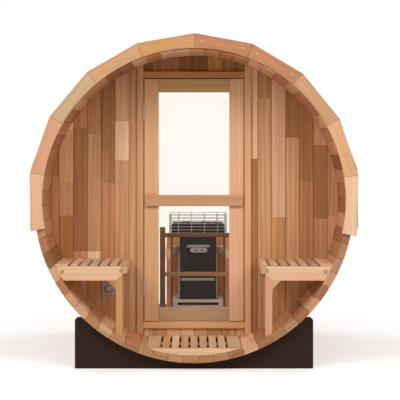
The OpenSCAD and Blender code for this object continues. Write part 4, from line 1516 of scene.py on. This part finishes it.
tray = bmesh.new()
for y in (ty0, ty1 - TRAY_WALL):
    raised_plate(tray, shouldered, 0.0, y, y + TRAY_WALL, TRAY_EDGE)
for low, high in (((tx0, ty0, tz0), (tx0 + TRAY_WALL, ty1, shoulder_z)),
                  ((tx1 - TRAY_WALL, ty0, tz0), (tx1, ty1, shoulder_z)),
                  ((tx0, ty0, tz0), (tx1, ty1, tz0 + TRAY_WALL))):
    soft_box(tray, low, high, edge=TRAY_EDGE)
finished(tray, "stone_tray", "cabin", "heater_enamel", black_enamel)

# %% [markdown]
# ## Wire rack
# A rack of thin steel rods keeps hands off the stones. Its rods are drawn as plain lines, and a tree turns
# every line into a round rod: mesh to curve, then a circle swept along the curve.

# %% Rack
ROD_R, RINGS, CORNER_R, RACK_DROP = 0.0019, 7, 0.018, 0.013
BAR_SHARES = [0.0, 0.163, 0.388, 0.612, 0.837, 1.0]
SIDE_SHARES = [0.25, 0.5, 0.75]


def rod_tree():
    tree, given, result = new_group("lines_to_rods", "GeometryNodeTree", {
        "Lines": ("Geometry", None), "Rod Radius": ("Float", 0.002), "Sides": ("Int", 8),
        "Material": ("Material", None)}, {"Geometry": "Geometry"})
    curve = add_node(tree, "GeometryNodeMeshToCurve", {0: given["Lines"]}).outputs[0]
    circle = add_node(tree, "GeometryNodeCurvePrimitiveCircle", {
        "Resolution": given["Sides"], "Radius": given["Rod Radius"]}).outputs[0]
    rods = add_node(tree, "GeometryNodeCurveToMesh", {
        "Curve": curve, "Profile Curve": circle, "Fill Caps": True}).outputs[0]
    smooth = add_node(tree, "GeometryNodeSetShadeSmooth", {0: rods}).outputs[0]
    close_tree(tree, smooth, given["Material"], result)
    return tree


def rounded_ring(x0, x1, y0, y1, radius, steps=4):
    """A flat loop with round corners"""
    corners = ((x1 - radius, y1 - radius), (x0 + radius, y1 - radius), (x0 + radius, y0 + radius),
               (x1 - radius, y0 + radius))
    return [point for quarter, (x, y) in enumerate(corners)
            for point in quarter_arc(x, y, radius, quarter, steps)]


def rod(points, lines, *path, closed=False):
    """Adds a bent rod through some points"""
    start = len(points)
    points.extend(path)
    lines.extend((start + i, start + i + 1) for i in range(len(path) - 1))
    if closed:
        lines.append((start + len(path) - 1, start))


rack_low, rack_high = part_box("heater_rack")
rx0, rx1, ry0, ry1 = rack_low.x + ROD_R, rack_high.x - ROD_R, rack_low.y + ROD_R, rack_high.y - ROD_R
rz0, rz1 = rack_low.z + ROD_R, rack_high.z - ROD_R - RACK_DROP
points, lines = [], []
for i in range(RINGS):
    z = rz0 + (rz1 - rz0) * i / (RINGS - 1)
    loop = [(x, y, z) for x, y in rounded_ring(rx0, rx1, ry0, ry1, CORNER_R)]
    rod(points, lines, *loop, closed=True)
feet = [(min(max(rx0 + share * (rx1 - rx0), rx0 + CORNER_R * 0.5), rx1 - CORNER_R * 0.5), y)
        for share in BAR_SHARES for y in (ry0 + ROD_R, ry1 - ROD_R)]
feet += [(x, ry0 + share * (ry1 - ry0)) for share in SIDE_SHARES for x in (rx0 + ROD_R, rx1 - ROD_R)]
for x, y in feet:
    rod(points, lines, (x, y, rz0), (x, y, rz1))
for share in SIDE_SHARES[::2]:
    y = ry0 + (ry1 - ry0) * share
    for outer, inner in ((rx0, tx0 + TRAY_WALL), (rx1, tx1 - TRAY_WALL)):
        rod(points, lines, (outer, y, rz0), (inner, y, rz0))
rack_lines = bpy.data.meshes.new("rack_lines")
rack_lines.from_pydata(points, lines, [])
rack = grown("stone_rack", rod_tree(), {"Rod Radius": ROD_R, "Sides": 8, "Material": wire_steel},
             points=rack_lines)
settle(rack, "cabin", "steel", "heater_rack")

# %% [markdown]
# ## Guard
# In front of the heater stand two posts with two rails, and two thin balusters behind the rails, all stained
# a warm dark brown. Behind it a pale laminated rail bends round both sides and the back, on two more posts
# and a row of six uprights. The bent rail is a section swept along its plan, so its grain follows the bend.

# %% Fence in front of the heater
POST_W, POST_T, FENCE_RAIL, FENCE_RAIL_T = 0.036, 0.026, 0.028, 0.020
FENCE_RAILS = (0.357, 0.617)
BALUSTER_X, BALUSTER_W = 0.175, 0.015
fence_low, fence_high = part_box("guard_fence")
rail_y = fence_low.y + (POST_T - FENCE_RAIL_T) / 2

fence = Timber("heater_fence", 81)
for x0 in (fence_low.x, fence_high.x - POST_W):
    fence.block(x0, x0 + POST_W, GROUND, fence_high.z, POST_T, fence_low.y, ["walnut"], edge=0.003)
for height, tint in zip(FENCE_RAILS, ("toffee", "walnut")):
    z = FLOOR_Z + height
    fence.block(fence_low.x + POST_W, fence_high.x - POST_W, z, z + FENCE_RAIL, FENCE_RAIL_T, rail_y, [tint],
                fit=False, grain=0, edge=0.003)
for x in (HEATER_X - BALUSTER_X, HEATER_X + BALUSTER_X):
    fence.block(x - BALUSTER_W / 2, x + BALUSTER_W / 2, GROUND, FLOOR_Z + FENCE_RAILS[1] + FENCE_RAIL,
                BALUSTER_W, rail_y + FENCE_RAIL_T, ["walnut"])
fence.finish("cabin", "guard_wood", stained_wood, "guard_fence")

# %% Bent rail and back
RAIL_T, RAIL_TALL, RAIL_R, RAIL_Z0, RAIL_EDGE = 0.042, 0.060, 0.150, FLOOR_Z + 0.468, 0.006
BEND_STEPS = 14
BACK_T, BACK_TOP, BACK_HALF, GUARD_POST = 0.020, FLOOR_Z + 0.598, 0.198, 0.031
BACK_GAP = 0.0015
BACK_SHADES = ["honey", "tan", "amber", "honey", "tan", "honey"]
guard_low, guard_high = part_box("guard_rail")
rail_y1 = guard_high.y - BACK_T
rail_half = (guard_high.x - guard_low.x) / 2


def rail_plan():
    """Middle line of the bent rail"""
    half, r = rail_half - RAIL_T / 2, RAIL_R - RAIL_T / 2
    back = rail_y1 - RAIL_T / 2
    path = [(-half, guard_low.y)]
    for start, x in ((math.pi, -half + r), (math.pi / 2, half - r)):
        for i in range(BEND_STEPS + 1):
            a = start - math.pi / 2 * i / BEND_STEPS
            path.append((x + r * math.cos(a), back - r + r * math.sin(a)))
    return path + [(half, guard_low.y)]


def swept_rail(piece, tint, shift):
    """Sweeps the eased section of the rail along its plan, and counts how far the grain has run"""
    e, t, h = RAIL_EDGE, RAIL_T / 2, RAIL_TALL
    section = [(-t, e), (-t + e, 0), (t - e, 0), (t, e), (t, h - e), (t - e, h), (-t + e, h), (-t, h - e)]
    plan = rail_plan()
    rings, run = [], 0.0
    for i, p in enumerate(plan):
        before, after = plan[max(i - 1, 0)], plan[min(i + 1, len(plan) - 1)]
        ahead = Vector((after[0] - before[0], after[1] - before[1], 0)).normalized()
        run += math.dist(p, before)
        ring = []
        for u, z in section:
            v = piece.bm.verts.new((HEATER_X + p[0] + ahead.y * u, p[1] - ahead.x * u, RAIL_Z0 + z))
            v[piece.at], v[piece.shift], v[piece.shade] = (run, u, z), shift, tint
            ring.append(v)
        rings.append(ring)
    for a, b in zip(rings, rings[1:]):
        for i in range(len(section)):
            piece.bm.faces.new((a[i - 1], a[i], b[i], b[i - 1]))
    for ring in (rings[0][::-1], rings[-1]):
        piece.bm.faces.new(ring)[piece.end] = 1.0
    bmesh.ops.recalc_face_normals(piece.bm, faces=piece.bm.faces)


bent = Timber("heater_bent_rail", 82)
swept_rail(bent, CEDAR["pale"], (2.0, 0.2, 0.02))
bent.finish("cabin", "guard_wood", cedar_trim, "guard_rail")

back = Timber("heater_guard_posts", 83)
post_top = FLOOR_Z + FENCE_RAILS[1] + FENCE_RAIL / 3
for side in (-1, 1):
    x = HEATER_X + side * (rail_half - RAIL_T / 2)
    for z0, z1 in ((GROUND, RAIL_Z0), (RAIL_Z0 + RAIL_TALL, post_top)):
        back.block(x - GUARD_POST / 2, x + GUARD_POST / 2, z0, z1, GUARD_POST, guard_low.y + 0.004, ["tan"],
                   edge=0.003)
lane = 2 * BACK_HALF / len(BACK_SHADES)
for i, tint in enumerate(BACK_SHADES):
    x = HEATER_X - BACK_HALF + i * lane
    back.block(x + BACK_GAP / 2, x + lane - BACK_GAP / 2, GROUND, BACK_TOP, BACK_T, rail_y1, [tint])
back.finish("cabin", "guard_wood", cedar_trim)

# %% [markdown]
# ## Floor and backdrop
# The sauna stands on a plain pale floor that runs off to white. To the camera, and in mirrors and glass, the
# floor glows a little more with distance, so it has no far edge. Lamps and shadows still fall on it near
# the sauna. The world is white to the camera, and a soft grey to everything it lights.

# %% Stage
FLOOR_HALF = 15.0
FADE_FROM, FADE_TO = 1.4, 3.0
FLOOR_LIFT = 0.34
FLOOR_GREY = 0.86
SKY = 0.26
WHITE = (1, 1, 1, 1)


def seen_directly(tree):
    """1 for rays from the camera, and for what is seen in metal or through glass"""
    path = add_node(tree, "ShaderNodeLightPath").outputs
    seen = maths(tree, "MAXIMUM", path["Is Camera Ray"], path["Is Glossy Ray"])
    return maths(tree, "MAXIMUM", seen, path["Is Transmission Ray"])


def pale_floor():
    material, tree, shader = new_material("pale_floor")
    place = add_node(tree, "ShaderNodeTexCoord").outputs["Object"]
    far = vectors(tree, "LENGTH", vectors(tree, "MULTIPLY", place, (1, 0.7, 1)))
    fade = add_node(tree, "ShaderNodeMapRange", {"Value": far, "From Min": FADE_FROM, "From Max": FADE_TO},
                    interpolation_type="SMOOTHSTEP").outputs["Result"]
    seen = seen_directly(tree)
    fill(tree, shader, {
        "Base Color": (FLOOR_GREY, FLOOR_GREY, FLOOR_GREY, 1), "Roughness": 0.9, "Specular IOR Level": 0.0,
        "Emission Color": WHITE, "Emission Strength": maths(tree, "MULTIPLY", seen, FLOOR_LIFT)})
    glow = add_node(tree, "ShaderNodeEmission", {"Color": WHITE, "Strength": 1.0})
    surface_mix(tree, maths(tree, "MULTIPLY", fade, seen), shader, glow)
    return material


floor_mesh = bpy.data.meshes.new("floor")
floor_corners = [(i * FLOOR_HALF, k * FLOOR_HALF, 0) for i, k in ((-1, -1), (1, -1), (1, 1), (-1, 1))]
floor_mesh.from_pydata(floor_corners, [], [(0, 1, 2, 3)])
linked("floor", floor_mesh, pale_floor())

world = bpy.data.worlds.new("white_studio")
world.use_nodes = True
sky = world.node_tree
fill(sky, sky.nodes["Background"], {
    "Color": WHITE, "Strength": maths(sky, "MULTIPLY_ADD", seen_directly(sky), 1 - SKY, SKY)})
scene.world = world
print("stage: floor and white backdrop")

# %% [markdown]
# ## Lamps
# Two large soft lamps stand in front, left and right, and a third higher up between them. They put the
# inside of the barrel's top in shade. A pair behind lights the back and sides, so every side can be seen.
# Their powers are set so that a colour shows about as it was written. A small lamp over the heater makes up
# for the light that glass keeps out of the cabin, and nothing sees or mirrors the lamp itself.

# %% Lamps
LAMPS = (("key_left", -32, 28, 6.0, 2.0, 99), ("key_right", 32, 28, 6.0, 2.0, 89),
         ("key_middle", 0, 39, 6.0, 2.4, 58), ("back_left", -140, 28, 6.5, 3.0, 120),
         ("back_right", 140, 28, 6.5, 3.0, 120))
CABIN_LAMP_BACK, CABIN_LAMP_UP, CABIN_LAMP_AIM = 0.25, 0.70, 0.4
CABIN_LAMP_SIZE, CABIN_LAMP_POWER = 0.3, 9.0


def soft_lamp(name, place, target, size, power):
    """A square lamp that faces its target"""
    data = bpy.data.lights.new(name, "AREA")
    data.energy = power
    data.size = size
    lamp = bpy.data.objects.new(name, data)
    lamp.location = place
    lamp.rotation_euler = (target - lamp.location).to_track_quat("-Z", "Y").to_euler()
    scene.collection.objects.link(lamp)
    return lamp


middle = Vector((0, 0, CENTRE_Z))
for name, azimuth, elevation, distance, size, power in LAMPS:
    a, e = math.radians(azimuth), math.radians(elevation)
    ray = Vector((math.sin(a) * math.cos(e), -math.cos(a) * math.cos(e), math.sin(e)))
    soft_lamp(name, middle + ray * distance, middle, size, power)
cabin_lamp = soft_lamp("cabin_lamp", Vector((0, wall_high.y + CABIN_LAMP_BACK, CENTRE_Z + CABIN_LAMP_UP)),
                       Vector((0, body_low.y, FLOOR_Z + CABIN_LAMP_AIM)), CABIN_LAMP_SIZE,
                       CABIN_LAMP_POWER)
for kind in ("camera", "glossy", "transmission"):
    setattr(cabin_lamp, "visible_" + kind, False)

# %% [markdown]
# ## Camera
# The camera looks straight along the barrel from a little above its centre line, far enough back that the
# round stays round. It is level, so uprights stay upright, and a small shift of the lens frames the sauna.

# %% Camera
CAMERA_PLACE = (0.0, -8.725, 1.284)
FOCAL_PER_WIDTH = 3.358
LENS_SHIFT = (0.015, -0.1253)

camera = bpy.data.objects.new("camera", bpy.data.cameras.new("camera"))
scene.collection.objects.link(camera)
camera.location = CAMERA_PLACE
camera.rotation_euler = (math.radians(90), 0, 0)
camera.data.lens = FOCAL_PER_WIDTH * camera.data.sensor_width
camera.data.shift_x, camera.data.shift_y = LENS_SHIFT
scene.camera = camera
scene.view_settings.view_transform = "Standard"
print("camera: lens", round(camera.data.lens, 1))
